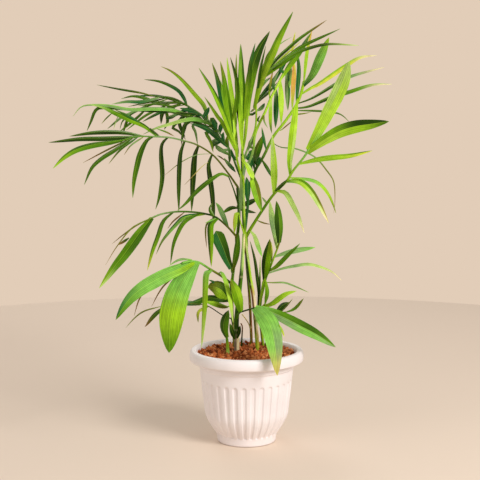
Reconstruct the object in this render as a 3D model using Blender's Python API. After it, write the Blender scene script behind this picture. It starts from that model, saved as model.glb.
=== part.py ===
"""A potted areca palm: a fluted nursery pot, its potting mix, five canes, and every frond and shoot on them.

Metres, +Z up. The origin is the middle of the pot's underside. The front of the plant looks along -Y.
"""

import math

import bmesh
import bpy
from mathutils import Matrix, Vector

MM = 0.001
CM = 0.01

# Pot, in mm: a 15 cm nursery pot of thin moulded plastic
RIM_RADIUS = 75
POT_HEIGHT = 122
FOOT_RADIUS = 38
POT_WALL = 2.2
BASE_THICKNESS = 3
FLUTES = 30
FLUTE_DEPTH = 1.3
FLUTED_FROM = 10    # the heights between which the side is fluted
FLUTED_TO = 80.5
DRAIN_HOLES = 6
DRAIN_RADIUS = 5
DRAIN_RING = 24     # the radius on which the drain holes stand

# Outer profile of the pot, (radius, height) in mm, foot to rim
POT_SIDE = (
    (FOOT_RADIUS, 0), (38.4, 4), (39.2, 9), (41.2, 13.4), (45.8, 20), (50, 27), (53.3, 33.6), (55, 40),
    (56.7, 54), (58.5, 67), (59.9, 80.5), (61.6, 94), (62.6, 105), (63, 107), (RIM_RADIUS - 1, 107.6),
    (RIM_RADIUS, 111), (RIM_RADIUS, 115), (RIM_RADIUS - 1, 119), (RIM_RADIUS - 3.5, POT_HEIGHT),
    (RIM_RADIUS - 7, POT_HEIGHT), (RIM_RADIUS - 8.8, POT_HEIGHT - 1.5),
)
INNER_HEIGHTS = (13.4, 27, 40, 67, 94)      # where the inside follows the outside
RIM_INSIDE = ((64.8, 118), (62.6, 108))     # (radius, height) down the rim's inner face

# Potting mix, in mm: fills the pot to a little under its rim
SOIL_TOP = 114
SOIL_GAP = 0.4
SOIL_CROWN = ((62.4, SOIL_TOP - 2), (40, SOIL_TOP))     # (radius, height) at the edge and the flat middle
CANE_DEPTH = 18     # how deep the canes stand in the mix

# Foliage, in mm
GAP = 0.3           # between a stalk and its cane
STALK_SIDES = 4
CANE_SIDES = 8
BLADE_THICKNESS = 0.8
BLADE_STEPS = 6
STATION_HALF = 1.1  # half the length of stalk that a blade grows from
LEAST_WIDTH = 1.2   # of a blade, short of its tip
BROAD_WIDTH = 16
NARROW_TURN = 50    # degrees that the narrowest blade turns up and out, away from the front
BROAD_TURN = 24     # degrees that a blade of BROAD_WIDTH or more turns

# The sight lines on which the foliage is set out start here
EYE_DISTANCE = 160.0    # cm in front of the pot's axis
EYE_HEIGHT = 46.3       # cm above the table

# Canes: (x, z, depth) in cm up the cane, radius in cm at the foot, the middle and the top
CANES = {
    "main_cane": (
        ((1.45, 11.9, 2.3), (1.35, 13.6, 2.2), (1.2, 15.6, 2.0), (1.05, 17.4, 1.9), (0.85, 19.4, 1.7),
         (0.45, 21.6, 1.5), (0.15, 23.8, 1.3), (-0.15, 26, 1.2), (-0.32, 28.4, 1.1), (-0.42, 31, 1.0),
         (-0.47, 33.8, 0.9), (-0.52, 36, 0.8), (-0.56, 37.8, 0.6)),
        (0.27, 0.25, 0.22)),
    "left_cane": (
        ((-1.6, 12.4, 3.6), (-1.75, 15, 3.4), (-1.9, 18, 3.2), (-1.88, 21, 3.0), (-1.6, 23.6, 2.8),
         (-1.3, 26.2, 2.6), (-1.02, 29, 2.4), (-1.0, 31.2, 2.3), (-1.15, 33.4, 2.2)),
        (0.17, 0.2, 0.22)),
    "grey_cane": (
        ((-1.3, 11.7, 1.4), (-1.3, 13.8, 1.3), (-1.32, 16, 1.0), (-1.1, 18.4, 0.5), (-0.85, 20.6, 0.1),
         (-0.62, 23, -0.1), (-0.46, 25.4, -0.2), (-0.36, 27.4, -0.2)),
        (0.38, 0.3, 0.18)),
    "back_cane": (
        ((0.65, 12.6, 5.2), (0.55, 15.5, 4.8), (0.42, 18.4, 4.3), (0.22, 21, 3.8), (0.02, 23.4, 3.2),
         (-0.06, 25.2, 2.8), (-0.1, 26.8, 2.4)),
        (0.2, 0.18, 0.16)),
    "right_cane": (
        ((2.15, 12.4, 4.4), (2.0, 14.2, 4.3), (1.75, 16.6, 4.1), (1.85, 18.8, 3.9), (2.2, 20.9, 3.7)),
        (0.2, 0.2, 0.18)),
}

# Fronds, single leaves and shoots: the cane that it springs from (None for the potting mix), its stalk as
# (x, z, depth) in cm, the stalk's radius in mm at its foot and tip, and its blades.
# A blade: how far along the stalk it grows, its width in cm, where along itself it is widest, its points to the tip.
FRONDS = {
    "frond_long_left": (
        "left_cane",
        ((-1.45, 34.2, 2.5), (-2.4, 35.3, 2.7), (-4.2, 37.5, 2.3), (-6.3, 38.9, 1.8), (-8.2, 39.5, 1.2),
         (-10, 39.9, 0.5), (-12, 40, 0.2), (-14.2, 40, 0), (-16, 39.5, -0.3)),
        (1.3, 0.8),
        ((0.31, 0.62, 0.35, (-4.98, 36, 1.6), (-4.75, 33, 1.5), (-4.35, 30.2, 1.2)),
         (0.43, 0.55, 0.3, (-6.9, 37, 2.9), (-7.1, 34, 3.8), (-7.2, 30.4, 4.2)),
         (0.54, 0.6, 0.3, (-8.7, 37, 0.5), (-8.9, 34, 0), (-8.8, 30.6, -0.3)),
         (0.67, 0.52, 0.3, (-11.1, 37.8, 1.8), (-11.05, 34.4, 2.3), (-11.7, 31, 2.7)),
         (0.74, 0.75, 0.4, (-13.2, 41.1, 0.8), (-16.2, 42.7, 1.5), (-19.6, 44, 2.1), (-22.3, 42.6, 2.3)),
         (0.78, 0.6, 0.35, (-13.6, 38.8, -0.9), (-14.45, 36, -2.2), (-14.75, 32.2, -2.8)),
         (0.84, 0.35, 0.4, (-17.5, 40.75, 3.2), (-20, 40.6, 5.5), (-22.8, 40.1, 7)),
         (0.84, 0.3, 0.4, (-14.8, 38.9, -1.7), (-15.8, 37.7, -2.6)),
         (0.88, 0.5, 0.45, (-18, 39.85, 1.8), (-22.5, 39.8, 3.2), (-25.5, 39.2, 4)),
         (0.88, 0.3, 0.4, (-16.2, 38.2, -2.8), (-17.8, 36.4, -4.6)),
         (0.92, 0.55, 0.5, (-16.9, 38.3, -3.6), (-19.8, 36, -5.9), (-21, 33.8, -7.1)),
         (0.92, 0.3, 0.4, (-18.2, 38.1, 3.2), (-21.1, 36.6, 4.6)),
         (1, 0.85, 0.5, (-19, 39, -0.6), (-22.5, 38, -2.1), (-25, 36, -3.6)))),
    "leaf_left_curved": (
        "left_cane",
        ((-1.45, 31.6, 1.9), (-1.75, 33.4, 1.2), (-2.35, 34.9, 0.3)),
        (1, 0.8),
        ((1, 0.62, 0.45, (-3.5, 35.2, -0.4), (-4.8, 34.5, -1), (-6.5, 32.9, -1.3), (-8.6, 30.7, -1.2)),)),
    "frond_upper_left": (
        "main_cane",
        ((-0.9, 34.5, 1.4), (-1.35, 36.2, 2.6), (-2, 38, 4.1), (-2.8, 39.4, 5.4), (-3.7, 40.8, 6.3),
         (-4.9, 42.1, 7.3), (-6.5, 43.3, 8.5), (-8, 44.1, 9.5), (-10, 44.8, 10.8), (-12, 45.2, 12.1)),
        (1.4, 0.8),
        ((0.27, 0.75, 0.45, (-4.3, 40.4, 2.5), (-6, 41.6, 1.2), (-7.6, 42, 0.7)),
         (0.36, 0.6, 0.5, (-4.3, 39.4, 4.9), (-4.4, 38.2, 4.1)),
         (0.42, 0.5, 0.5, (-5.2, 40.2, 4.3), (-4.3, 38, 3.5)),
         (0.47, 0.55, 0.45, (-6.4, 42.3, 3.8), (-9, 42, 2.2), (-12.8, 40.8, 1.7)),
         (0.53, 0.45, 0.4, (-6.6, 41, 4.9), (-6.2, 39, 4.1)),
         (0.53, 0.75, 0.35, (-5.4, 44.2, 8.8), (-7.6, 46.8, 9.8), (-10.95, 48.9, 10.6)),
         (0.6, 0.55, 0.45, (-8.5, 43.1, 5.9), (-13, 43.5, 4.1), (-18.6, 43.9, 3.5), (-20.6, 40.4, 3.3)),
         (0.6, 0.5, 0.5, (-7.9, 41.6, 5.9), (-8.2, 40, 5.1)),
         (0.67, 0.5, 0.4, (-9.3, 41.4, 7.2), (-8.2, 39.8, 6.9)),
         (0.72, 0.85, 0.3, (-8.2, 45.2, 10.3), (-9.6, 46.6, 11.1), (-13.1, 47.25, 11.9)),
         (0.77, 0.7, 0.5, (-10.4, 43, 8.5), (-11.2, 41.4, 7.5)),
         (0.82, 0.45, 0.5, (-12, 43.2, 8.8), (-15.3, 40.8, 6.9)),
         (0.8, 0.4, 0.5, (-11, 44.7, 13.4), (-15.1, 43.8, 17)),
         (0.88, 0.45, 0.5, (-13.4, 43.5, 9.8), (-16.3, 40.9, 8.8)),
         (0.9, 0.35, 0.4, (-13.4, 45.2, 14.2), (-16.2, 44.8, 15.4)),
         (0.94, 0.5, 0.5, (-13.6, 44.3, 9.6), (-17.2, 44.2, 8.4)),
         (1, 0.42, 0.4, (-13.5, 45.55, 12.9), (-16.5, 46.1, 14.2), (-19.2, 46.6, 15.1)))),
    "frond_top_left": (
        "main_cane",
        ((-1, 35.3, 0.9), (-1.15, 36.6, 0.4), (-1.4, 38.2, -0.1), (-1.7, 39.8, -0.8), (-2, 41.4, -1.2)),
        (1.3, 0.9),
        ((0.25, 0.6, 0.5, (-1.9, 38, 2), (-2.3, 39.4, 2.9)),
         (0.45, 0.55, 0.5, (-3.1, 41.6, 3.1), (-5.2, 44.8, 5)),
         (0.6, 0.45, 0.4, (-2.8, 42.6, -3.4), (-4.1, 45.2, -4.6), (-6.1, 48.7, -5.5)),
         (0.7, 0.75, 0.45, (-2.7, 43, 1.6), (-3.4, 46.2, 3.1), (-4.4, 49.4, 4.4)),
         (0.8, 0.6, 0.4, (-2.4, 43.6, -2.9), (-2.75, 46.5, -4.3), (-3.3, 49.5, -5.5)),
         (0.9, 0.45, 0.4, (-1.7, 43.4, 1.1), (-2.05, 46.6, 1.6), (-2.5, 50, 2.2)),
         (1, 0.5, 0.4, (-1.5, 43.4, -2.5), (-1.4, 46.4, -3.8), (-2.05, 50.1, -5.2)))),
    "frond_top_middle": (
        "main_cane",
        ((-0.56, 38.1, 0.6), (-0.56, 39, 0.5), (-0.52, 40.6, 0.3), (-0.42, 42, 0)),
        (1.2, 0.8),
        ((0.45, 0.5, 0.4, (-1, 43.2, 2.9), (-1.1, 46.4, 3.9), (-1.3, 50.5, 5)),
         (0.75, 0.85, 0.4, (-0.5, 44.2, 1.9), (-0.45, 47, 2.4), (-0.75, 51.7, 3.2)),
         (1, 0.6, 0.45, (0.1, 44.4, -0.7), (0.3, 47.4, -1.5), (1.05, 51.8, -2.6)))),
    "frond_top_right": (
        "main_cane",
        ((-0.2, 36.9, 1.5), (0.15, 38.5, 2.1), (0.7, 39.8, 2.6), (1.15, 41.2, 2.8), (1.25, 43, 2.6),
         (1.2, 44.8, 2), (1.5, 46.3, 1), (2, 47.4, 0.1), (2.7, 48.4, -0.6)),
        (1.3, 0.8),
        ((0.44, 0.45, 0.45, (2, 44.9, 5.2), (3.8, 46.8, 7.6)),
         (0.58, 0.8, 0.45, (0.9, 47, 4.1), (1.4, 50.2, 4.9), (2.95, 53.3, 5.9)),
         (0.66, 0.4, 0.45, (1.35, 47.6, -1.9), (2, 49.8, -3.4), (2.7, 51.8, -4.3)),
         (0.72, 0.5, 0.5, (2.4, 46.9, 3.2), (3.1, 47.7, 4.1)),
         (0.78, 0.5, 0.5, (2.3, 48.4, 3.8), (2.9, 50.4, 5.6), (3.5, 51.7, 6.8)),
         (0.84, 0.7, 0.4, (2.4, 49, -2.8), (3.8, 51.8, -4.3), (5.9, 55.8, -5.6)),
         (0.89, 0.35, 0.4, (3.4, 50.4, 4.3), (5.7, 52.6, 6.1)),
         (0.93, 0.5, 0.4, (3.7, 49.8, 2), (6.2, 52, 2.8), (10.2, 54.8, 3.8)),
         (0.95, 0.5, 0.45, (4.3, 49.1, -3.2), (7.6, 51.1, -4.8), (10.5, 51.8, -6.3), (14.3, 51.6, -7.8)),
         (1, 0.5, 0.4, (4.1, 49.8, -0.6), (7, 51.7, -1.0), (11.9, 53.7, -1.8)))),
    "frond_right_hanging": (
        "main_cane",
        ((-0.05, 35.9, 0.5), (0.5, 37.1, 0.1), (0.9, 38.6, -0.2), (1.05, 40.1, -0.2), (1.6, 41.6, 0.4),
         (2.4, 43.2, 1.1), (3.1, 44.9, 2.2), (4, 46.6, 3.5), (4.7, 48, 4.5), (5.6, 49.3, 5.6),
         (6.5, 50.6, 6.6)),
        (1.3, 0.8),
        ((0.16, 0.55, 0.5, (0.4, 39, -1.7), (0.9, 40.4, -2.8)),
         (0.42, 0.5, 0.5, (2.4, 41.6, -1.2), (3, 41.4, -1.7)),
         (0.54, 0.35, 0.5, (3.6, 44.3, 3), (3.4, 43.2, 3.8)),
         (0.63, 0.62, 0.45, (3.9, 44.8, 4.5), (3.7, 41, 5)),
         (0.63, 0.5, 0.5, (3.5, 46.9, 0.9), (4.1, 48.4, 0.1)),
         (0.7, 0.85, 0.5, (4.5, 45.4, 2.5), (4.6, 41.6, 1.9)),
         (0.76, 0.6, 0.5, (5.3, 45.8, 7.1), (5.2, 43.2, 7.9)),
         (0.8, 0.55, 0.4, (4.5, 49.3, 1.9), (5.6, 50.2, 1.1)),
         (0.85, 0.5, 0.5, (6.1, 47.4, 4.5), (5.8, 43.4, 4.3)),
         (0.92, 0.48, 0.5, (6.75, 48, 8.2), (6.4, 44.2, 9)),
         (0.92, 0.42, 0.5, (5.7, 51, 4.5), (6.2, 53.3, 4)),
         (1, 0.45, 0.4, (7.2, 51.7, 7.4), (8.2, 53.2, 8.2)))),
    "frond_right_tall": (
        "main_cane",
        ((0.05, 28.9, 1.6), (0.15, 31, 1.7), (0.28, 33.2, 1.9), (1.1, 35.6, 2.4), (1.8, 36.8, 2.8),
         (2.4, 37.9, 3.2), (3, 39.2, 3.7), (3.7, 40.4, 4.5), (4.6, 41.5, 5.5), (5.7, 43, 6.8),
         (6.5, 44.3, 8.1), (7, 45.6, 9.4), (7.35, 47, 10.7)),
        (1.4, 0.8),
        ((0.3, 0.4, 0.5, (0.7, 37, 4.2), (0.4, 38.2, 5)),
         (0.36, 0.8, 0.5, (1.2, 38.2, 4.5), (1.9, 40.2, 5.8)),
         (0.41, 0.55, 0.5, (2.75, 37.2, 2.2), (3.05, 36.2, 2), (3.5, 34.7, 1.9)),
         (0.46, 0.5, 0.5, (1.9, 39.2, 1.6), (1.6, 40.4, 1.1)),
         (0.5, 0.25, 0.4, (5.3, 38.8, 2.4), (8.3, 37.9, 1.6), (11.1, 34.6, 0.8)),
         (0.83, 0.2, 0.4, (8.5, 43.1, 11.7), (11.5, 43.1, 14.1), (13.6, 40.9, 15.4)),
         (0.86, 0.55, 0.5, (9, 44.3, 11.5), (13, 45.6, 14.3), (17.7, 46.8, 17.2)),
         (0.91, 0.45, 0.5, (8.5, 45.1, 7.6), (12.5, 47.2, 6.5), (17.6, 48.9, 6)),
         (0.94, 0.5, 0.5, (9.5, 47, 13.3), (13.4, 49.4, 16.2), (16.6, 50.35, 18)),
         (0.97, 1.05, 0.6, (8.4, 47.8, 8.4), (9.6, 50.4, 7.3), (10.4, 52.6, 6.5)),
         (1, 0.5, 0.5, (7.6, 49, 12), (7.9, 51, 13), (8.35, 53.5, 14.1)))),
    "frond_right_bright": (
        "back_cane",
        ((0.1, 27.3, 2.2), (0.6, 28.2, 1.3), (1.6, 29.8, 0.1), (3, 31.9, -1.4), (4, 33.1, -2.5),
         (5.2, 34.3, -3.5), (6, 35.6, -4.4), (6.8, 36.6, -5.2), (7.5, 37.5, -5.9), (8, 38.3, -6.4)),
        (1.5, 0.9),
        ((0.1, 0.55, 0.5, (1.4, 26.6, 0.2), (2, 24.3, -0.6)),
         (0.2, 0.15, 0.5, (2.2, 28.85, 1.9), (3.1, 28.7, 2.7)),
         (0.52, 0.8, 0.45, (3.6, 36, -0.1), (3.4, 40.2, 0.6)),
         (0.56, 0.42, 0.35, (5.8, 31.4, -4), (7.4, 27.6, -4.8)),
         (0.66, 0.8, 0.45, (7.2, 34.25, -5.3), (8.7, 32.5, -6.9), (10.6, 28.9, -8.2)),
         (0.7, 0.35, 0.4, (8.2, 34.25, -2.2), (10.3, 32.9, -1.7), (11.55, 30.1, -1.4)),
         (0.73, 0.78, 0.5, (5.8, 38.4, -4.8), (6.3, 42, -5.1), (6.7, 44.8, -5.1)),
         (0.85, 0.65, 0.45, (9.2, 37.1, -4), (12.4, 37.4, -3.5), (15.6, 37.95, -3.3)),
         (0.98, 1.75, 0.5, (9.8, 39.4, -7.7), (13, 41, -9), (18, 41.9, -10.3)),
         (1, 1.8, 0.6, (9.2, 40.8, -5.9), (11.2, 45.2, -5.6), (13, 49.45, -5.9)))),
    "frond_left_arching": (
        "left_cane",
        ((-1.62, 27.1, 2), (-2.6, 28.45, 0.4), (-4, 29.6, -1.4), (-5.5, 30.05, -2.9), (-7, 30.25, -4.5),
         (-9, 30.3, -6.3), (-11, 30, -8.1), (-12.3, 29.5, -9.4)),
        (1.3, 0.8),
        ((0.14, 0.5, 0.5, (-3.1, 30.4, 1.7), (-4, 31.4, 2.5)),
         (0.28, 0.5, 0.45, (-4.6, 27.6, -2.4), (-4.6, 23.5, -3.2)),
         (0.34, 0.3, 0.4, (-5.4, 27.8, -0.1), (-5.15, 25.6, 0.4)),
         (0.34, 0.5, 0.5, (-4.9, 30.8, -3.7), (-4.5, 31.4, -4.5)),
         (0.5, 0.5, 0.45, (-8.6, 28.4, -6.1), (-9.5, 26, -7.4), (-9.95, 23.3, -8.1)),
         (0.5, 0.5, 0.3, (-8.9, 29.1, -2.2), (-10.4, 27.5, -1.4), (-11.6, 25.5, -0.9)),
         (0.68, 0.2, 0.4, (-9.6, 29, -4.2), (-10.3, 28.1, -3.7)),
         (0.8, 0.5, 0.5, (-11.1, 28, -7.1), (-12, 25.4, -7.4), (-12.9, 22.6, -7.6)),
         (0.9, 0.28, 0.4, (-13.6, 28.95, -6.6), (-15.8, 27.5, -5), (-17.6, 26.1, -3.7)),
         (0.96, 0.3, 0.4, (-14.6, 28.3, -12.3), (-16.8, 25.8, -14.4), (-18.5, 22.8, -15.9)),
         (1, 1.4, 0.45, (-14, 27.5, -10.5), (-16.6, 24.1, -12), (-19.1, 20.3, -13.3)))),
    "frond_lower_left": (
        "left_cane",
        ((-2.15, 20.9, 2.4), (-3.2, 21.8, 1), (-4.8, 22.8, -1.3), (-6.2, 23.65, -3.1), (-7.4, 23.8, -4.7),
         (-8.4, 23.6, -5.9)),
        (1.4, 1),
        ((0.14, 0.55, 0.4, (-2.7, 20.9, -1.3), (-2.15, 18.6, -2), (-1.8, 16.3, -2.2)),
         (0.45, 0.88, 0.35, (-5.55, 20.6, -3.8), (-5.5, 17.4, -4.6), (-5.9, 12.4, -5.2)),
         (0.8, 0.25, 0.5, (-10.6, 20.8, -2.9), (-12.4, 17.9, -2.2)),
         (0.88, 3.1, 0.62, (-8.6, 20.6, -7.7), (-9.9, 16.8, -9.3), (-10.2, 11.8, -10.2)),
         (0.92, 0.25, 0.6, (-12, 21.4, -4.3), (-14.7, 16.8, -3.6)),
         (1, 2, 0.5, (-10.6, 22.1, -7.7), (-14.2, 20, -10), (-17.1, 16, -11.9)))),
    "frond_low_left": (
        "left_cane",
        ((-2.2, 16.2, 3), (-3.2, 16.7, 2.2), (-5.1, 17.9, 1), (-7, 18.2, 0.2), (-9.2, 18.15, -0.4),
         (-11.2, 17.85, -1)),
        (1, 0.6),
        ((0.4, 0.4, 0.4, (-6.2, 17.2, 0), (-6.35, 15.9, -0.4)),
         (0.5, 0.9, 0.5, (-7.6, 18.6, 2), (-9.2, 18.4, 3)),
         (0.93, 0.5, 0.5, (-12.1, 16.5, 0.2), (-13.3, 15.1, 0.8)),
         (1, 0.25, 0.4, (-13.4, 17.3, -1.4), (-15.8, 15, -2)))),
    "leaf_pair_mid_left": (
        "left_cane",
        ((-1.95, 21.9, 1.5), (-1.95, 22.5, 1.1), (-2, 22.9, 0.8)),
        (1.2, 1),
        ((0.5, 0.8, 0.5, (-1.35, 25, 0.4), (-1.05, 27.6, 0)),
         (1, 1.6, 0.72, (-2.9, 25.2, -0.6), (-4, 27.5, -1.4)))),
    "leaf_broad_base": (
        "grey_cane",
        ((-0.68, 16.5, -0.2), (-0.72, 17.2, -0.5)),
        (1.2, 1),
        ((1, 1.25, 0.4, (-1, 18.9, -1.4), (-2, 21.4, -2.6)),)),
    "leaf_olive_left": (
        "left_cane",
        ((-2.3, 18.2, 2.6), (-2.5, 18.9, 2.2)),
        (1, 0.8),
        ((0.6, 0.7, 0.45, (-3.6, 18.5, 1.6), (-5.2, 18.5, 1)),
         (1, 1.5, 0.5, (-3.5, 20.2, 1.6), (-5, 20.4, 1.2)))),
    "leaf_low_folded": (
        "left_cane",
        ((-2.15, 17.6, 1.8), (-2.5, 17.8, 1.4)),
        (1, 0.8),
        ((1, 0.75, 0.5, (-3.6, 18, 0), (-5.3, 18.4, -0.8)),)),
    "frond_small_right": (
        "right_cane",
        ((2.4, 21.2, 3.4), (2.7, 22.1, 3.3), (3.25, 23.5, 3.1), (3.75, 24.8, 2.9), (4.25, 26.2, 2.6)),
        (1.3, 0.9),
        ((0.08, 1.15, 0.55, (2.1, 23.6, 2.0), (3, 26.7, 1.6)),
         (0.08, 0.32, 0.45, (5, 21, 4.7), (8.1, 19.8, 6)),
         (0.24, 0.38, 0.45, (6.2, 23.2, 4.7), (9.4, 23.3, 5.7), (12.4, 21.35, 6.5)),
         (0.34, 0.58, 0.55, (4.8, 24, 1.2), (7, 26.1, 0.3)),
         (0.45, 0.25, 0.5, (3.2, 25, 4.4), (3.2, 26.4, 5.2)),
         (0.66, 0.42, 0.5, (6.5, 25.3, 4.4), (9.05, 25.7, 5.5)),
         (0.86, 0.75, 0.5, (3.85, 28, 4.2), (3.3, 31.2, 5.7)),
         (1, 1.05, 0.45, (4.65, 28.8, 1.8), (3.8, 31.6, 1.1)))),
    "leaf_dark_upright": (
        "right_cane",
        ((1.42, 17.2, 4.6), (1.5, 18.2, 4.4)),
        (1.1, 1),
        ((1, 0.55, 0.4, (1.5, 21.5, 3.8), (1.2, 24, 3.4), (0.5, 26.4, 2.8)),)),
    "leaves_right_sheath": (
        "right_cane",
        ((2.35, 17.4, 3), (2.45, 18.2, 2.7)),
        (1.1, 1),
        ((0.4, 0.5, 0.5, (3.7, 18.3, 2), (5, 19.35, 1.6), (6.6, 19.75, 1.2)),
         (1, 0.55, 0.4, (2.6, 20, 2.2), (2.5, 21.4, 1.8)))),
    "leaf_pair_low_right": (
        "grey_cane",
        ((-0.7, 17, 0.6), (0.2, 17.35, -0.4), (1.2, 17.7, -1.5)),
        (1, 1.1),
        ((0.5, 2.3, 0.55, (2.1, 16.4, -4.6), (3.6, 12.8, -7.4), (4, 9, -8.8)),
         (1, 1.65, 0.55, (3.4, 17.3, -1.6), (8, 14.8, -2.8), (11.6, 12.5, -3.8)))),
    "leaves_right_cluster": (
        "right_cane",
        ((2.3, 16.4, 3.3), (3, 16.6, 2.9), (4.1, 17, 2.3), (5.2, 17.1, 1.8)),
        (0.9, 0.7),
        ((0.6, 0.85, 0.55, (4.7, 18, 2.8), (5.6, 18.4, 3.4)),
         (0.8, 0.2, 0.5, (5.4, 18.1, 1.4), (6, 18.85, 1.2)),
         (1, 0.38, 0.5, (6.4, 17.8, 1.4), (7.4, 18.8, 1)))),
    "leaf_front_folded": (
        "main_cane",
        ((-0.6, 37.4, 0.2), (-0.5, 37.3, -0.4), (-0.25, 36.8, -1)),
        (1, 1),
        ((1, 0.85, 0.6, (0.4, 35.6, -1.9), (1.2, 33.6, -2.6), (2, 30.2, -3)),)),
    "leaf_behind_canes": (
        "left_cane",
        ((-1.35, 30.6, 2.9), (-1.2, 31, 3.2)),
        (1, 0.9),
        ((0.5, 0.6, 0.5, (-2.2, 30.8, 3), (-3.4, 30, 2.8)),
         (1, 0.95, 0.6, (0.2, 31.5, 4), (1.5, 32.1, 4.6)))),
    "leaf_yellow": (
        "grey_cane",
        ((-0.72, 28.2, -0.1), (-0.85, 29.2, -0.5), (-1, 30.1, -1)),
        (0.9, 0.8),
        ((1, 0.6, 0.5, (-1.45, 29.9, -1.9), (-1.6, 28.8, -2.4), (-1.65, 27.4, -2.6)),)),
    "spoon_shoot": (
        None,
        ((-2.3, 11.5, -0.4), (-2.45, 12.6, -0.4), (-2.6, 13.7, -0.5)),
        (1.9, 1.6),
        ((1, 1.15, 0.45, (-3.1, 15.2, -0.8), (-2.5, 17.3, -1)),)),
    "dried_stalk": (
        None,
        ((-0.7, 12.4, 4.4), (-0.6, 14, 4.3), (-0.55, 15.2, 4.2), (-0.75, 15.6, 4.1)),
        (0.8, 0.6),
        ()),
    "thin_shoot": (
        None,
        ((0.15, 12.5, 4.6), (0.35, 14, 4), (0.2, 15.4, 3.2), (-0.3, 16.5, 2.4)),
        (0.8, 0.6),
        ()),
}

COLOURS = {
    "pot": (0.80, 0.79, 0.77), "potting_mix": (0.16, 0.06, 0.03), "main_cane": (0.42, 0.42, 0.16),
    "left_cane": (0.20, 0.26, 0.10), "grey_cane": (0.30, 0.28, 0.20), "back_cane": (0.24, 0.30, 0.06),
    "right_cane": (0.28, 0.32, 0.06), "dried_stalk": (0.20, 0.07, 0.03), "thin_shoot": (0.30, 0.25, 0.06),
}
LEAF_GREENS = ((0.10, 0.24, 0.02), (0.20, 0.42, 0.03), (0.05, 0.16, 0.03), (0.26, 0.48, 0.08))


def place(x, z, depth):
    """The point `depth` cm behind the pot's axis on the sight line that meets the axis plane at (x, z) cm."""
    along = depth / EYE_DISTANCE
    return Vector((x * (1 + along), depth, z + (z - EYE_HEIGHT) * along)) * CM


def smooth_path(points, spacing):
    """A Catmull-Rom curve through the points, read about every `spacing` mm."""
    ends = [points[0] * 2 - points[1], *points, points[-1] * 2 - points[-2]]
    path = [points[0].copy()]
    for before, start, end, after in zip(ends, ends[1:], ends[2:], ends[3:]):
        steps = max(1, round((end - start).length / (spacing * MM)))
        for step in range(1, steps + 1):
            t = step / steps
            path.append(0.5 * (2 * start + (end - before) * t
                               + (2 * before - 5 * start + 4 * end - after) * t ** 2
                               + (3 * start - before - 3 * end + after) * t ** 3))
    return path


def path_length(path):
    return sum((b - a).length for a, b in zip(path, path[1:]))


def along_path(path, fraction):
    """The point and the direction at this fraction of the path's length."""
    left = max(0.0, min(1.0, fraction)) * path_length(path)
    for a, b in zip(path, path[1:]):
        length = (b - a).length
        if left <= length or b is path[-1]:
            return a.lerp(b, min(1.0, left / length)), (b - a).normalized()
        left -= length


def ring(bm, centre, direction, radius, sides):
    """A ring of vertices round the direction, turned the same way all along a stalk."""
    side = direction.cross(Vector((0, 1, 0)))
    if side.length < 0.05:
        side = direction.cross(Vector((1, 0, 0)))
    side.normalize()
    up = side.cross(direction)
    angles = [math.pi * (2 * i + 1) / sides for i in range(sides)]
    return [bm.verts.new(centre + radius * (math.cos(angle) * side + math.sin(angle) * up))
            for angle in angles]


def wall(bm, lower, upper):
    """The side faces between two rings."""
    count = len(lower)
    return [bm.faces.new((lower[i], upper[i], upper[(i + 1) % count], lower[(i + 1) % count]))
            for i in range(count)]


def blade_width(u, widest):
    """A blade's width, from 0 to 1, at u along it."""
    if u < widest:
        return 0.22 + 0.78 * math.sin(math.pi / 2 * u / widest) ** 1.2
    return math.cos(math.pi / 2 * (u - widest) / (1 - widest))


def blade_corners(centre, direction, half_width, lean):
    """The thin four-cornered section of a blade: flat to the eye, then leaned up and out."""
    eye = Vector((0, -EYE_DISTANCE, EYE_HEIGHT)) * CM
    across = direction.cross((centre - eye).normalized()).normalized()
    up_and_out = -(across.z + across.x * centre.x * 4)
    turn = Matrix.Rotation(math.copysign(lean, up_and_out), 3, direction)
    normal = turn @ across.cross(direction)
    across = turn @ across
    thick = BLADE_THICKNESS / 2 * MM
    return [centre + across * half_width, centre + normal * thick,
            centre - across * half_width, centre - normal * thick]


def winding(corners, centre, direction):
    """Which way round the direction the four corners go, as a signed size."""
    return sum((corners[i] - centre).cross(corners[(i + 1) % 4] - centre).dot(direction) for i in range(4))


def matched(corners, centre, below, direction):
    """The corners in the order that carries on from the section below with the least twist."""
    middle = sum(below, Vector()) / 4
    orders = [way[i:] + way[:i] for way in (corners, corners[::-1]) for i in range(4)]
    same_way = [order for order in orders
                if winding(order, centre, direction) * winding(below, middle, direction) > 0]
    return min(same_way, key=lambda order: sum((a - centre - b + middle).length
                                               for a, b in zip(order, below)))


def grow_blade(bm, base, root, width, widest, points):
    """A thin blade on the four-cornered face or ring `base`, along a curve through the points to its tip."""
    path = smooth_path([root, *points], 4)
    lean = math.radians(NARROW_TURN + (BROAD_TURN - NARROW_TURN) * min(1, width / BROAD_WIDTH))
    corners = base
    for step in range(1, BLADE_STEPS):
        u = (step / BLADE_STEPS) ** 0.9
        centre, direction = along_path(path, u)
        half_width = 0.5 * max(width * blade_width(u, widest), LEAST_WIDTH) * MM / math.cos(lean)
        section = blade_corners(centre, direction, half_width, lean)
        upper = [bm.verts.new(co) for co in matched(section, centre, [v.co for v in corners], direction)]
        wall(bm, corners, upper)
        corners = upper
    tip = bm.verts.new(points[-1])
    for i in range(4):
        bm.faces.new((corners[i], tip, corners[(i + 1) % 4]))


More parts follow.
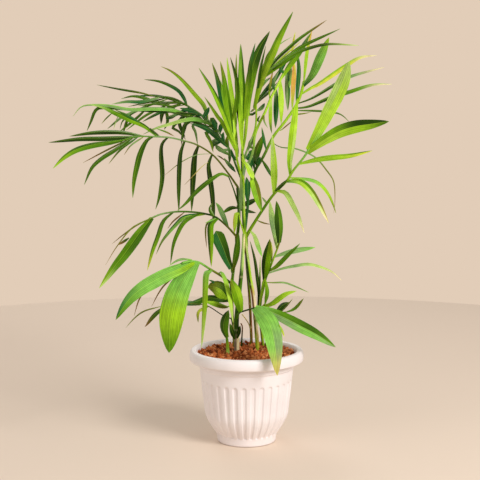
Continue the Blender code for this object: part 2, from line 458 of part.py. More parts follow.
def make_object(name, bm, colour, roughness=0.5):
    """A named object of the mesh, its faces outwards, shaded smooth but for its sharp edges."""
    bmesh.ops.recalc_face_normals(bm, faces=bm.faces)
    if bm.calc_volume(signed=True) < 0:
        bmesh.ops.reverse_faces(bm, faces=bm.faces)
    mesh = bpy.data.meshes.new(name)
    bm.to_mesh(mesh)
    bm.free()
    mesh.shade_smooth()
    mesh.set_sharp_from_angle(angle=math.radians(40))
    material = bpy.data.materials.new(name)
    material.use_nodes = True
    shader = material.node_tree.nodes["Principled BSDF"]
    shader.inputs["Base Color"].default_value = (*colour, 1)
    shader.inputs["Roughness"].default_value = roughness
    shader.inputs["Metallic"].default_value = 0
    mesh.materials.append(material)
    thing = bpy.data.objects.new(name, mesh)
    bpy.context.scene.collection.objects.link(thing)
    return thing


def cane_path(name):
    """A cane's centre line, from its foot in the potting mix to its top."""
    points = [place(*point) for point in CANES[name][0]]
    foot = points[0].copy()
    foot.z = (SOIL_TOP - CANE_DEPTH) * MM
    return smooth_path([foot, *points], 22)


def cane_radius(name, u):
    """A cane's radius at u, from 0 at its foot to 1 at its top."""
    foot, middle, top = CANES[name][1]
    if u < 0.5:
        return (foot + (middle - foot) * u * 2) * CM
    return (middle + (top - middle) * (u * 2 - 1)) * CM


def stalk_foot(cane, stalk, radius):
    """Where a stalk starts: clear of its cane's side or top by GAP, or just above the potting mix."""
    first, second = stalk[0].copy(), stalk[1]
    if cane is None:
        first.z = (SOIL_TOP + 2 * GAP) * MM
        return first
    path = cane_path(cane)
    u = min((i / 200 for i in range(201)), key=lambda u: (along_path(path, u)[0] - first).length)
    spot, axis = along_path(path, u)
    if u == 1:
        return spot + axis * (radius + GAP) * MM
    out = second - spot
    out -= axis * out.dot(axis)
    return spot + out.normalized() * (cane_radius(cane, u) + (GAP + radius) * MM)


def stalk_cuts(blades, half):
    """Fractions along a stalk where its sections stand, each with the blade station that ends there, if any.

    A station is a short stretch, `half` to each side, whose faces the blades there grow from.
    """
    stations = sorted({min(along, 1 - half) for along, *_ in blades if along < 1})
    cuts = [(0.0, None)]
    for station in stations:
        cuts += [(station - half, None), (station + half, station)]
    if cuts[-1][0] < 1 - half:
        cuts.append((1.0, None))
    return cuts


def base_face(faces, root, heading):
    """The face of a stalk's station that looks most the way a blade heads."""
    for face in faces:
        face.normal_update()
    outwards = (faces[0].calc_center_median() - root).dot(faces[0].normal) > 0
    return max(faces, key=lambda face: face.normal.dot(heading if outwards else -heading))


def make_frond(name, cane, stalk, girth, blades, colour):
    """One stalk with its blades, grown as one body."""
    bm = bmesh.new()
    stalk = [place(*point) for point in stalk]
    stalk[0] = stalk_foot(cane, stalk, girth[0])
    path = smooth_path(stalk, 5)
    half = STATION_HALF * MM / path_length(path)
    cuts = stalk_cuts(blades, half)
    rings = []
    for cut, _ in cuts:
        radius = (girth[0] + (girth[1] - girth[0]) * cut) * MM
        rings.append(ring(bm, *along_path(path, cut), radius, STALK_SIDES))
    sides = {station: wall(bm, lower, upper)
             for (_, station), lower, upper in zip(cuts[1:], rings, rings[1:])}
    bm.faces.new(rings[0])
    for along, width, widest, *points in sorted(blades, key=lambda blade: blade[0]):
        points = [place(*point) for point in points]
        root, _ = along_path(path, min(along, 1 - half) if along < 1 else 1)
        corners = rings[-1]
        if along < 1:
            faces = sides[min(along, 1 - half)]
            face = base_face(faces, root, (points[0] - root).normalized())
            faces.remove(face)
            corners = list(face.verts)
            root = face.calc_center_median()
            bm.faces.remove(face)
        grow_blade(bm, corners, root, width * CM / MM, widest, points)
    if all(along < 1 for along, *_ in blades):
        bm.faces.new(rings[-1])
    return make_object(name, bm, colour)


def make_cane(name, colour):
    """A round cane, from its foot in the potting mix to its top."""
    bm = bmesh.new()
    path = cane_path(name)
    rings = []
    for i, centre in enumerate(path):
        direction = (path[min(i + 1, len(path) - 1)] - path[max(i - 1, 0)]).normalized()
        rings.append(ring(bm, centre, direction, cane_radius(name, i / (len(path) - 1)), CANE_SIDES))
    for lower, upper in zip(rings, rings[1:]):
        wall(bm, lower, upper)
    bm.faces.new(rings[0])
    bm.faces.new(rings[-1])
    return make_object(name, bm, colour)


def fluting(height):
    """How far every second line of the pot's side is pressed in at this height, in mm."""
    return FLUTE_DEPTH if FLUTED_FROM < height < FLUTED_TO else 0


def turned(bm, profile, fluted=()):
    """A turned solid through (radius, height) points in mm, with flutes pressed into the fluted ones."""
    segments = 2 * FLUTES
    rows = []
    for point in profile:
        radius, height = point
        row = []
        for i in range(segments):
            angle = 2 * math.pi * i / segments
            reach = radius - (fluting(height) if point in fluted and i % 2 else 0)
            row.append(bm.verts.new(Vector((reach * math.cos(angle), reach * math.sin(angle), height)) * MM))
        rows.append(row)
    for lower, upper in zip(rows, rows[1:]):
        wall(bm, lower, upper)
    bm.faces.new(rows[0])
    bm.faces.new(rows[-1])


def pot_inside():
    """The pot's inner profile in mm, from the foot up, a wall's thickness inside the flutes."""
    side = [(radius - POT_WALL - fluting(height), height)
            for radius, height in POT_SIDE if height in INNER_HEIGHTS]
    return [(FOOT_RADIUS - POT_WALL, BASE_THICKNESS), *side]


def cylinder(bm, x, y, radius, bottom, top):
    """An upright cylinder, in mm."""
    middle = Vector((x, y, (bottom + top) / 2)) * MM
    bmesh.ops.create_cone(bm, cap_ends=True, segments=12, radius1=radius * MM, radius2=radius * MM,
                          depth=(top - bottom) * MM, matrix=Matrix.Translation(middle))


def cut(thing, cutter):
    cutter.hide_render = True
    cutter.display_type = "WIRE"
    boolean = thing.modifiers.new("cut", "BOOLEAN")
    boolean.operation = "DIFFERENCE"
    boolean.solver = "EXACT"
    boolean.object = cutter


def make_pot():
    bm = bmesh.new()
    turned(bm, [*POT_SIDE, *RIM_INSIDE, *reversed(pot_inside())], POT_SIDE)
    pot = make_object("pot", bm, COLOURS["pot"], 0.45)
    bm = bmesh.new()
    for i in range(DRAIN_HOLES):
        angle = 2 * math.pi * (i + 0.5) / DRAIN_HOLES
        cylinder(bm, DRAIN_RING * math.cos(angle), DRAIN_RING * math.sin(angle), DRAIN_RADIUS,
                 -BASE_THICKNESS, 2 * BASE_THICKNESS)
    cut(pot, make_object("drain_hole_cutter", bm, COLOURS["pot"]))
    return pot


def make_soil():
    """The potting mix: a solid fill a little inside the pot's wall, with a socket round each cane."""
    side = [(radius - SOIL_GAP, max(height, BASE_THICKNESS + SOIL_GAP)) for radius, height in pot_inside()]
    bm = bmesh.new()
    turned(bm, [*side, *SOIL_CROWN])
    soil = make_object("potting_mix", bm, COLOURS["potting_mix"], 0.9)
    bm = bmesh.new()
    for name in CANES:
        x, y, _ = place(*CANES[name][0][0]) / MM
        cylinder(bm, x, y, cane_radius(name, 0) / MM + 2 * GAP, SOIL_TOP - CANE_DEPTH - GAP, SOIL_TOP + 10)
    cut(soil, make_object("cane_socket_cutter", bm, COLOURS["potting_mix"]))
    return soil


def clear_scene():
    for thing in list(bpy.data.objects):
        bpy.data.objects.remove(thing, do_unlink=True)


def main():
    clear_scene()
    make_pot()
    make_soil()
    for name in CANES:
        make_cane(name, COLOURS[name])
    for i, (name, frond) in enumerate(FRONDS.items()):
        make_frond(name, *frond, COLOURS.get(name, LEAF_GREENS[i % len(LEAF_GREENS)]))


main()
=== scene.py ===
# Potted areca palm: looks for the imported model.
# Lengths of the plant are in cm, those of the pot and of small detail in mm.
import math
import random

import bpy
from mathutils import Matrix, Vector


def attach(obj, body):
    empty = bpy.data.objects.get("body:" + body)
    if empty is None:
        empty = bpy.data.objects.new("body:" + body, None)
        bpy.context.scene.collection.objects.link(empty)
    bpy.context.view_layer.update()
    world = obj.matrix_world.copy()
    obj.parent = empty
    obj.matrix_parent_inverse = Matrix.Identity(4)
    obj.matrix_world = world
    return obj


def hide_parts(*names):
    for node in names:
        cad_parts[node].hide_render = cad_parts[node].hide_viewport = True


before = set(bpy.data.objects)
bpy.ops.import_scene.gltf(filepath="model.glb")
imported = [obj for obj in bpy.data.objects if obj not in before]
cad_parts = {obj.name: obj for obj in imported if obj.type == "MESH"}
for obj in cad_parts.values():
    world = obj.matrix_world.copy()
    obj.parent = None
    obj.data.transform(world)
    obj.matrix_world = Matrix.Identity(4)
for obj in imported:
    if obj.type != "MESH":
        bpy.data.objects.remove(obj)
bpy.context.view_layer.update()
mm = 0.001
cm = 0.01
scene = bpy.context.scene


def linear(code):
    # "#rrggbb" in sRGB to the linear colour that shaders take
    channels = [int(code[i:i + 2], 16) / 255 for i in (1, 3, 5)]
    return [c / 12.92 if c <= 0.04045 else ((c + 0.055) / 1.055) ** 2.4 for c in channels] + [1.0]


def add(tree, kind, inputs=(), out=None, **settings):
    # a node with its settings, and its inputs by name or in order, as values or as other nodes' outputs;
    # gives back the output named, or else the first in use
    node = tree.nodes.new(kind)
    for name, value in settings.items():
        setattr(node, name, value)
    for key, value in inputs.items() if isinstance(inputs, dict) else enumerate(inputs):
        socket = node.inputs[key] if isinstance(key, int) else next(
            s for s in node.inputs if s.name == key and s.enabled)
        if isinstance(value, bpy.types.NodeSocket):
            tree.links.new(value, socket)
        else:
            socket.default_value = value
    return node.outputs[out] if out else next((s for s in node.outputs if s.enabled), None)


def newTree(name, settings):
    # an empty tree with named inputs, given as (socket kind, value), and those inputs as its nodes read them
    tree = bpy.data.node_groups.new(name, "GeometryNodeTree")
    for label, (kind, value) in {"Geometry": ("Geometry", None), **settings}.items():
        socket = tree.interface.new_socket(label, in_out="INPUT", socket_type="NodeSocket" + kind)
        if value is not None:
            socket.default_value = value
    tree.interface.new_socket("Geometry", in_out="OUTPUT", socket_type="NodeSocketGeometry")
    return tree, {s.name: s for s in tree.nodes.new("NodeGroupInput").outputs if s.name}


def finishTree(tree, geometry, *materials):
    # each material comes with the faces that it goes on, True for all of them
    geometry = add(tree, "GeometryNodeRealizeInstances", [geometry])
    for material, faces in materials:
        geometry = add(tree, "GeometryNodeSetMaterial", {"Geometry": geometry, "Selection": faces,
                                                         "Material": material})
    tree.links.new(geometry, tree.nodes.new("NodeGroupOutput").inputs[0])


def guideLines(name, lines, values):
    # a mesh of open lines, each a list of points with a value for every named attribute
    points = [point for line in lines for point in line]
    edges = []
    start = 0
    for line in lines:
        edges += [(start + i, start + i + 1) for i in range(len(line) - 1)]
        start += len(line)
    mesh = bpy.data.meshes.new(name)
    mesh.from_pydata([point["place"] for point in points], edges, [])
    for key, kind in values.items():
        layer = mesh.attributes.new(key, kind, "POINT")
        if kind == "FLOAT":
            layer.data.foreach_set("value", [point[key] for point in points])
        else:
            layer.data.foreach_set("color" if kind == "FLOAT_COLOR" else "vector",
                                   [part for point in points for part in point[key]])
    return mesh


def grow(name, guides, tree, values, sharp=None):
    # runs a tree on the guides and keeps its result as a plain mesh; edges over `sharp` degrees stay sharp
    holder = bpy.data.objects.new(name, guides)
    scene.collection.objects.link(holder)
    modifier = holder.modifiers.new("grow", "NODES")
    modifier.node_group = tree
    for item in tree.interface.items_tree:
        if item.in_out == "INPUT" and item.name in values:
            modifier[item.identifier] = values[item.name]
    depsgraph = bpy.context.evaluated_depsgraph_get()
    mesh = bpy.data.meshes.new_from_object(holder.evaluated_get(depsgraph), preserve_all_data_layers=True,
                                           depsgraph=depsgraph)
    bpy.data.objects.remove(holder)
    if sharp:
        mesh.set_sharp_from_angle(angle=math.radians(sharp))
    piece = bpy.data.objects.new(name, mesh)
    scene.collection.objects.link(piece)
    return piece


def standFor(piece, node):
    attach(piece, "root")
    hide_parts(node)


eyeLine = {"distance": 160.0, "height": 46.3}   # cm: the routes are set out on sight lines that start here
eye = Vector((0, -eyeLine["distance"], eyeLine["height"])) * cm


def place(x, z, depth):
    # the point `depth` cm behind the pot's axis on the sight line that meets the axis plane at (x, z) cm
    along = depth / eyeLine["distance"]
    return Vector((x * (1 + along), depth, z + (z - eyeLine["height"]) * along)) * cm


def smoothPath(points, spacing):
    # a smooth curve through the points, as points about `spacing` mm apart
    ends = [points[0] * 2 - points[1], *points, points[-1] * 2 - points[-2]]
    path = [points[0].copy()]
    for before, start, end, after in zip(ends, ends[1:], ends[2:], ends[3:]):
        steps = max(1, round((end - start).length / (spacing * mm)))
        for step in range(1, steps + 1):
            t = step / steps
            path.append(0.5 * (2 * start + (end - before) * t
                               + (2 * before - 5 * start + 4 * end - after) * t ** 2
                               + (3 * start - before - 3 * end + after) * t ** 3))
    return path


def pathLength(path):
    return sum((b - a).length for a, b in zip(path, path[1:]))


def alongPath(path, share):
    # the point at a share of the path's length, and the way that the path runs there
    left = max(0.0, min(1.0, share)) * pathLength(path)
    for a, b in zip(path, path[1:]):
        length = (b - a).length
        if left <= length or b is path[-1]:
            return a.lerp(b, min(1.0, left / length)), (b - a).normalized()
        left -= length


def newMaterial(name, **constants):
    # constants name the shader's sockets, with _ for a space
    material = bpy.data.materials.new(name)
    material.use_nodes = True
    shader = material.node_tree.nodes["Principled BSDF"]
    for label, value in constants.items():
        shader.inputs[label.replace("_", " ")].default_value = value
    return material, material.node_tree, shader


def dressShader(shader, tone, height, relief, strength):
    # the shader's colour, and a bump `relief` mm high
    tree = shader.id_data
    tree.links.new(tone, shader.inputs["Base Color"])
    bump = add(tree, "ShaderNodeBump", {"Height": height, "Distance": relief * mm, "Strength": strength})
    tree.links.new(bump, shader.inputs["Normal"])


noiseSpan = (0.3, 0.7)  # noise seldom leaves these values
# besides the leaves' own greens the tones hold painted light and shade: deep, dark, teal and bluegreen mostly
# paint leaves in shade, bright and pale paint lit faces, mist paints sheen
leafTones = {
    "deep": "#244200", "dark": "#3a6200", "leaf": "#568602", "fresh": "#78a80a", "lime": "#98c21c",
    "bright": "#b2d838", "pale": "#b8d66c", "mint": "#84c04c", "mist": "#80a25e", "teal": "#22682e",
    "bluegreen": "#2c662a", "olive": "#6c740c", "straw": "#c6b45c", "yellow": "#cdd23c", "orange": "#cc9a3e",
    "brown": "#7c4c20", "cream": "#efdcaa", "husk": "#86745f",
}
leafRibs = 2.1          # mm between the ribs that show on a leaf


def litAndShadedHalves(tree, blend):
    # a leaf or stem keeps a colour for each half, where they differ a painted lit side and a painted shaded
    # side; they meet within `blend` of its half width from the middle
    sideways = add(tree, "ShaderNodeAttribute", out="Fac", attribute_name="sideways")
    half = add(tree, "ShaderNodeMapRange", [sideways, -blend, blend], interpolation_type="SMOOTHSTEP")
    return add(tree, "ShaderNodeMix", {
        "Factor": half, "A": add(tree, "ShaderNodeAttribute", attribute_name="minusTone"),
        "B": add(tree, "ShaderNodeAttribute", attribute_name="plusTone")}, data_type="RGBA")


def palmLeaf():
    # living leaflet, grown: fine parallel veins, a pale midrib, a satin wax that gives soft long glints
    material, tree, shader = newMaterial("palmLeaf", Roughness=0.55, IOR=1.45, Specular_IOR_Level=0.16)
    leafPlace = add(tree, "ShaderNodeAttribute", out="Vector", attribute_name="leafPlace")  # mm, and a seed
    mmAcross = add(tree, "ShaderNodeSeparateXYZ", [leafPlace])
    # the veins are 0.5 mm apart and drawn 1 mm apart, as coarse as they need to be to show
    lane = add(tree, "ShaderNodeVectorMath", [leafPlace, (1.0, 0.012, 1.0)], operation="MULTIPLY")
    veins = add(tree, "ShaderNodeTexNoise", {"Vector": lane, "Scale": 1.0, "Detail": 3.0, "Roughness": 0.65})
    veinShade = add(tree, "ShaderNodeMapRange", [veins, *noiseSpan, 0.8, 1.18])
    # blotches about 11 mm wide
    blotch = add(tree, "ShaderNodeTexNoise", {"Vector": leafPlace, "Scale": 0.09, "Detail": 3.0})
    blotchShade = add(tree, "ShaderNodeMapRange", [blotch, *noiseSpan, 0.84, 1.14])
    shade = add(tree, "ShaderNodeMath", [veinShade, blotchShade], operation="MULTIPLY")
    # the two halves' colours carry painted light and painted shade
    tone = add(tree, "ShaderNodeVectorMath", {0: litAndShadedHalves(tree, 0.06), "Scale": shade}, operation="SCALE")
    away = add(tree, "ShaderNodeMath", [mmAcross], operation="ABSOLUTE")
    topSide = add(tree, "ShaderNodeAttribute", out="Fac", attribute_name="topSide")
    # the midrib is about half a millimetre wide, and the underside is paler
    for drive, start, end, least, most, code in ((away, 0.15, 0.4, 0.3, 0.0, "#acc840"),
                                                 (topSide, 0.1, -0.1, 0.0, 0.22, "#7c9a34")):
        share = add(tree, "ShaderNodeMapRange", [drive, start, end, least, most],
                    interpolation_type="SMOOTHSTEP")
        tone = add(tree, "ShaderNodeMix", {"Factor": share, "A": tone, "B": linear(code)}, data_type="RGBA")
    # lighter on the ribs and darker between them: painted light and shade of the pleats, partly the ribs' own
    # lines
    ribs = add(tree, "ShaderNodeMath", [mmAcross, 2 * math.pi / leafRibs], operation="MULTIPLY")
    ribs = add(tree, "ShaderNodeMath", [ribs], operation="COSINE")
    ribShade = add(tree, "ShaderNodeMapRange", [ribs, -1.0, 0.4, 0.78, 1.06])
    tone = add(tree, "ShaderNodeVectorMath", {0: tone, "Scale": ribShade}, operation="SCALE")
    height = add(tree, "ShaderNodeMath", [veins, 4.8, ribs], operation="MULTIPLY_ADD")
    dressShader(shader, tone, height, 0.05, 0.5)
    return material


def stemSkin():
    # living stalk and cane, grown: a smooth waxed skin with fine fibres along it
    material, tree, shader = newMaterial("palmStem", Roughness=0.5, IOR=1.45, Specular_IOR_Level=0.2)
    spot = add(tree, "ShaderNodeTexCoord", out="Object")
    lane = add(tree, "ShaderNodeVectorMath", [spot, (1.0, 1.0, 0.06)], operation="MULTIPLY")
    fibre = add(tree, "ShaderNodeTexNoise", {"Vector": lane, "Scale": 1 / (1.2 * mm), "Detail": 2.0})
    shade = add(tree, "ShaderNodeMapRange", [fibre, *noiseSpan, 0.75, 1.2])
    # a cane's two halves carry painted light and painted shade
    tone = add(tree, "ShaderNodeVectorMath", {0: litAndShadedHalves(tree, 0.4), "Scale": shade}, operation="SCALE")
    ring = add(tree, "ShaderNodeAttribute", out="Fac", attribute_name="ring")
    ring = add(tree, "ShaderNodeMath", [ring, 0.35], operation="MULTIPLY")
    tone = add(tree, "ShaderNodeMix", {"Factor": ring, "A": tone, "B": linear("#d8cf9a")}, data_type="RGBA")
    dressShader(shader, tone, fibre, 0.15, 0.4)
    return material


def mouldedPolypropylene():
    # moulded white plastic, slightly warm: a satin skin with a faint uneven gloss
    material, tree, shader = newMaterial("mouldedPolypropylene", Roughness=0.42, IOR=1.49)
    spot = add(tree, "ShaderNodeTexCoord", out="Object")
    cloud = add(tree, "ShaderNodeTexNoise", {"Vector": spot, "Scale": 1 / (35 * mm), "Detail": 4.0})
    cloud = add(tree, "ShaderNodeMapRange", [cloud, *noiseSpan], interpolation_type="SMOOTHSTEP")
    tone = add(tree, "ShaderNodeMix", {"Factor": cloud, "A": linear("#ebe2e1"), "B": linear("#f2eae9")},
               data_type="RGBA")
    skin = add(tree, "ShaderNodeTexNoise", {"Vector": spot, "Scale": 1 / (1.5 * mm), "Detail": 2.0})
    dressShader(shader, tone, skin, 0.05, 0.25)
    return material


def huskAndLaterite():
    # coir husk and baked laterite chips, crushed: dry, matte, brick red to dark brown
    material, tree, shader = newMaterial("huskAndLaterite", Roughness=0.92, Specular_IOR_Level=0.25)
    spot = add(tree, "ShaderNodeTexCoord", out="Object")
    grain = add(tree, "ShaderNodeTexNoise", {"Vector": spot, "Scale": 1 / (1.6 * mm), "Detail": 5.0,
                                             "Roughness": 0.7})
    # damper and drier patches a few centimetres wide
    patch = add(tree, "ShaderNodeTexNoise", {"Vector": spot, "Scale": 1 / (22 * mm), "Detail": 1.0})
    shade = add(tree, "ShaderNodeAttribute", out="Fac", attribute_name="chipShade")
    for noise, swing in ((grain, 0.28), (patch, 0.2)):
        change = add(tree, "ShaderNodeMapRange", [noise, *noiseSpan, -swing, swing])
        shade = add(tree, "ShaderNodeMath", [shade, change], operation="ADD")
    ramp = tree.nodes.new("ShaderNodeValToRGB")
    stops = ((0.0, "#2a0f07"), (0.25, "#6e2f11"), (0.55, "#aa5525"), (0.85, "#c77039"), (1.0, "#da8f59"))
    for i, (at, code) in enumerate(stops):
        stop = ramp.color_ramp.elements[i] if i < 2 else ramp.color_ramp.elements.new(at)
        stop.position = at
        stop.color = linear(code)
    tree.links.new(shade, ramp.inputs[0])
    dressShader(shader, ramp.outputs[0], grain, 0.5, 0.8)
    return material


leafMaterial = palmLeaf()
stemMaterial = stemSkin()
potMaterial = mouldedPolypropylene()
soilMaterial = huskAndLaterite()
print("materials made")


# mm and degrees; the (radius, height) outlines run the way the surface is walked: up inside, over the rim and
# down outside, with points `spacing` apart
pot = {
    "inside": [(0, 3), (30, 3), (35, 3.4), (39, 13.4), (46.5, 27), (51.5, 40), (54.9, 67), (58.2, 94),
               (61.2, 107.6), (63, 108.6), (64.8, 112.5), (65.4, 117.5), (66.4, 120.8)],
    "rim": [(67.6, 121.8), (69.6, 122), (71.6, 121.8), (73.3, 120.4), (74.4, 118), (74.9, 115), (75, 113),
            (74.8, 110.6), (74.4, 108.6), (73.6, 107.7), (72, 107.4), (66, 107.2), (64.2, 107)],
    "collar": [(63.7, 106.4), (63.6, 105.4), (63.4, 104.7), (62.7, 104.3), (62.5, 103.4), (62.6, 101),
               (62.7, 99.8), (62.4, 99), (61.7, 98.6), (61.4, 97.6), (61.2, 94), (60.7, 89), (60.3, 85.5)],
    "bell": [(60, 83), (59.2, 74), (58.5, 67), (56.8, 54), (55.3, 40), (53.7, 33.6), (50.6, 27), (46.6, 20),
             (42.8, 14.4), (40.6, 11), (39.7, 9.2)],
    "foot": [(39.5, 8.2), (39, 5.5), (38.7, 2.4), (38.5, 1), (38.1, 0.3), (37.5, 0), (36.4, 0), (33, 0),
             (32.4, 0.8), (31.6, 1)],
    "spacing": {"inside": 4, "rim": 1.2, "collar": 0.7, "bell": 0.9, "foot": 1.4},
    "plainBell": (14, 74), "plainStep": 3,  # between these heights every third row of the bell is enough
    "flutes": 32, "fluteShare": 0.64, "fluteBed": 0.45, "aroundFlute": 20,
    "fluteTurn": 3.2,   # how far to the left the flute nearest the front stands
    "fluteDepth": 1.8, "fluteTop": 83.6, "topFade": 2.2, "fluteFoot": 9.6, "footFade": 2.0,
    "drainHoles": 6, "drainRadius": 5, "drainRing": 24, "drainSides": 32, "drillLength": 20, "sharp": 50,
}
turnRadius = 0.03   # m, of the circle that turned pieces are swept round


def evenly(outline, spacing):
    # the outline as a smooth line with points every `spacing` mm
    path = smoothPath([Vector((r, 0, z)) * mm for r, z in outline], spacing)
    return [(point.x, point.z) for point in path]


def sweptRound(tree, guide, segments):
    # the guide is laid out the way this sweep reads it: outwards along x, downwards along y
    circle = add(tree, "GeometryNodeCurvePrimitiveCircle", {"Resolution": segments, "Radius": turnRadius},
                 mode="RADIUS")
    outline = add(tree, "GeometryNodeMeshToCurve", [guide])
    swept = add(tree, "GeometryNodeCurveToMesh", {"Curve": circle, "Profile Curve": outline})
    return add(tree, "GeometryNodeMergeByDistance", {"Geometry": swept, "Distance": 0.005 * mm})


def flutedPot():
    lengths = {"Flute Depth": "fluteDepth", "Flute Top": "fluteTop", "Flute Foot": "fluteFoot",
               "Drain Radius": "drainRadius", "Drain Ring": "drainRing"}
    tree, given = newTree("flutedPot", {
        "Flutes": ("Int", pot["flutes"]), "Around Flute": ("Int", pot["aroundFlute"]),
        "Flute Share": ("Float", pot["fluteShare"]),
        "Flute Turn": ("Float", math.radians(90 + pot["fluteTurn"])),
        "Drain Holes": ("Int", pot["drainHoles"]), "Plastic": ("Material", None),
        **{label: ("Float", pot[key] * mm) for label, key in lengths.items()}})
    segments = add(tree, "ShaderNodeMath", [given["Flutes"], given["Around Flute"]], operation="MULTIPLY")
    turned = sweptRound(tree, given["Geometry"], segments)
    spot = add(tree, "GeometryNodeInputPosition")
    x, y, z = add(tree, "ShaderNodeSeparateXYZ", [spot]).node.outputs
    outward = add(tree, "ShaderNodeVectorMath", [spot, (1, 1, 0)], operation="MULTIPLY")
    radius = add(tree, "ShaderNodeVectorMath", [outward], out="Value", operation="LENGTH")
    outward = add(tree, "ShaderNodeVectorMath", [outward], operation="NORMALIZE")
    # edge runs from 0 in a flute's middle to 1 at its sides and stays there on the land between two
    angle = add(tree, "ShaderNodeMath", [y, x], operation="ARCTAN2")
    angle = add(tree, "ShaderNodeMath", [angle, given["Flute Turn"]], operation="ADD")
    pitch = add(tree, "ShaderNodeMath", [2 * math.pi, given["Flutes"]], operation="DIVIDE")
    turn = add(tree, "ShaderNodeMath", [angle, pitch], operation="DIVIDE")
    nearest = add(tree, "ShaderNodeMath", [turn], operation="ROUND")
    edge = add(tree, "ShaderNodeMath", [turn, nearest], operation="SUBTRACT")
    edge = add(tree, "ShaderNodeMath", [edge], operation="ABSOLUTE")
    edge = add(tree, "ShaderNodeMath", [edge, 2.0], operation="MULTIPLY")
    edge = add(tree, "ShaderNodeMath", [edge, given["Flute Share"]], operation="DIVIDE")
    edge = add(tree, "ShaderNodeMath", [edge, 1.0], operation="MINIMUM")
    hollow = add(tree, "ShaderNodeMapRange", [edge, pot["fluteBed"], 1.0, 1.0, 0.0],
                 interpolation_type="SMOOTHSTEP")
    # the flute's top is an arch as wide as the flute, so it falls from the top by up to half that width
    arch = add(tree, "ShaderNodeMath", [edge, edge], operation="MULTIPLY")
    arch = add(tree, "ShaderNodeMath", [1.0, arch], operation="SUBTRACT")
    arch = add(tree, "ShaderNodeMath", [arch], operation="SQRT")
    fall = add(tree, "ShaderNodeMath", [1.0, arch], operation="SUBTRACT")
    halfFlute = pitch
    for factor in (given["Flute Share"], 0.5, radius):
        halfFlute = add(tree, "ShaderNodeMath", [halfFlute, factor], operation="MULTIPLY")
    fall = add(tree, "ShaderNodeMath", [fall, halfFlute], operation="MULTIPLY")
    top = add(tree, "ShaderNodeMath", [given["Flute Top"], fall], operation="SUBTRACT")
    depth = add(tree, "ShaderNodeMath", [given["Flute Depth"], hollow], operation="MULTIPLY")
    for high, low, fade in ((top, z, pot["topFade"]), (z, given["Flute Foot"], pot["footFade"])):
        inside = add(tree, "ShaderNodeMath", [high, low], operation="SUBTRACT")
        inside = add(tree, "ShaderNodeMapRange", [inside, 0.0, fade * mm], interpolation_type="SMOOTHSTEP")
        depth = add(tree, "ShaderNodeMath", [depth, inside], operation="MULTIPLY")
    for factor in (add(tree, "GeometryNodeInputNamedAttribute", ["outside"]), -1.0):
        depth = add(tree, "ShaderNodeMath", [depth, factor], operation="MULTIPLY")
    inward = add(tree, "ShaderNodeVectorMath", {0: outward, "Scale": depth}, operation="SCALE")
    pressed = add(tree, "GeometryNodeSetPosition", {"Geometry": turned, "Offset": inward})
    ring = add(tree, "GeometryNodeMeshCircle", {"Vertices": given["Drain Holes"],
                                                "Radius": given["Drain Ring"]})
    drill = add(tree, "GeometryNodeMeshCylinder", {
        "Vertices": pot["drainSides"], "Radius": given["Drain Radius"], "Depth": pot["drillLength"] * mm})
    drills = add(tree, "GeometryNodeInstanceOnPoints", {"Points": ring, "Instance": drill})
    drills = add(tree, "GeometryNodeTransform", {"Geometry": drills,
                                                 "Rotation": (0, 0, math.pi / pot["drainHoles"])})
    drills = add(tree, "GeometryNodeRealizeInstances", [drills])
    drilled = add(tree, "GeometryNodeMeshBoolean", {"Mesh 1": pressed, "Mesh 2": drills},
                  operation="DIFFERENCE", solver="EXACT")
    finishTree(tree, add(tree, "GeometryNodeSetShadeSmooth", [drilled]), (given["Plastic"], True))
    return tree


def turnedLine(points):
    # a (radius, height) outline in m as sweptRound reads it, with both its ends on the axis
    line = [[r - turnRadius, -z, 0] for r, z in points]
    line[0][0] = line[-1][0] = -turnRadius
    return line


def makePot():
    points = []
    fluted = []
    last = []
    low, high = pot["plainBell"]
    for part, spacing in pot["spacing"].items():
        # each part goes on from the last point of the one before
        row = evenly(last + pot[part], spacing)[len(last):]
        if part == "bell":
            row = [(r, z) for i, (r, z) in enumerate(row)
                   if i % pot["plainStep"] == 0 or not low < z / mm < high]
        points += row
        fluted += [float(part == "bell")] * len(row)
        last = pot[part][-1:]
    points.append((0, last[0][1] * mm))
    fluted.append(0.0)
    line = [{"place": spot, "outside": outside} for spot, outside in zip(turnedLine(points), fluted)]
    guide = guideLines("potOutline", [line], {"outside": "FLOAT"})
    piece = grow("flutedPot", guide, flutedPot(), {"Plastic": potMaterial}, pot["sharp"])
    standFor(piece, "pot")
    print("pot made,", len(piece.data.polygons), "faces")


makePot()


pottingMix = {      # mm; the lumps rise between the heights of `top`, and chips lie on them in `chipHeights`
    "outline": [(0, 3.4), (34.4, 3.4), (38.6, 13.4), (46.1, 27), (51.1, 40), (54.5, 67), (57.8, 94),
                (60.8, 107.6), (63.6, 110.6), (64.2, 113.4), (63, 115), (50, 115), (35, 114.6), (18, 114.6),
                (0, 114.6)],
    "spacing": 3, "segments": 120, "top": (112, 114), "lumps": 3.4, "lumpWidth": 7, "paintedGapShade": 0.2,
    "chips": 1500, "bedRadius": 63, "chipHeights": (114.2, 117.4), "chipSize": (2.5, 9), "smallChips": 2.2,
    "chipForm": ((0.8, 0.6, 0.45), (1.2, 1.0, 0.8)), "chipKinds": 7, "chipCorners": 15,
    "chipShades": (0.3, 1.22), "seed": 11,
}


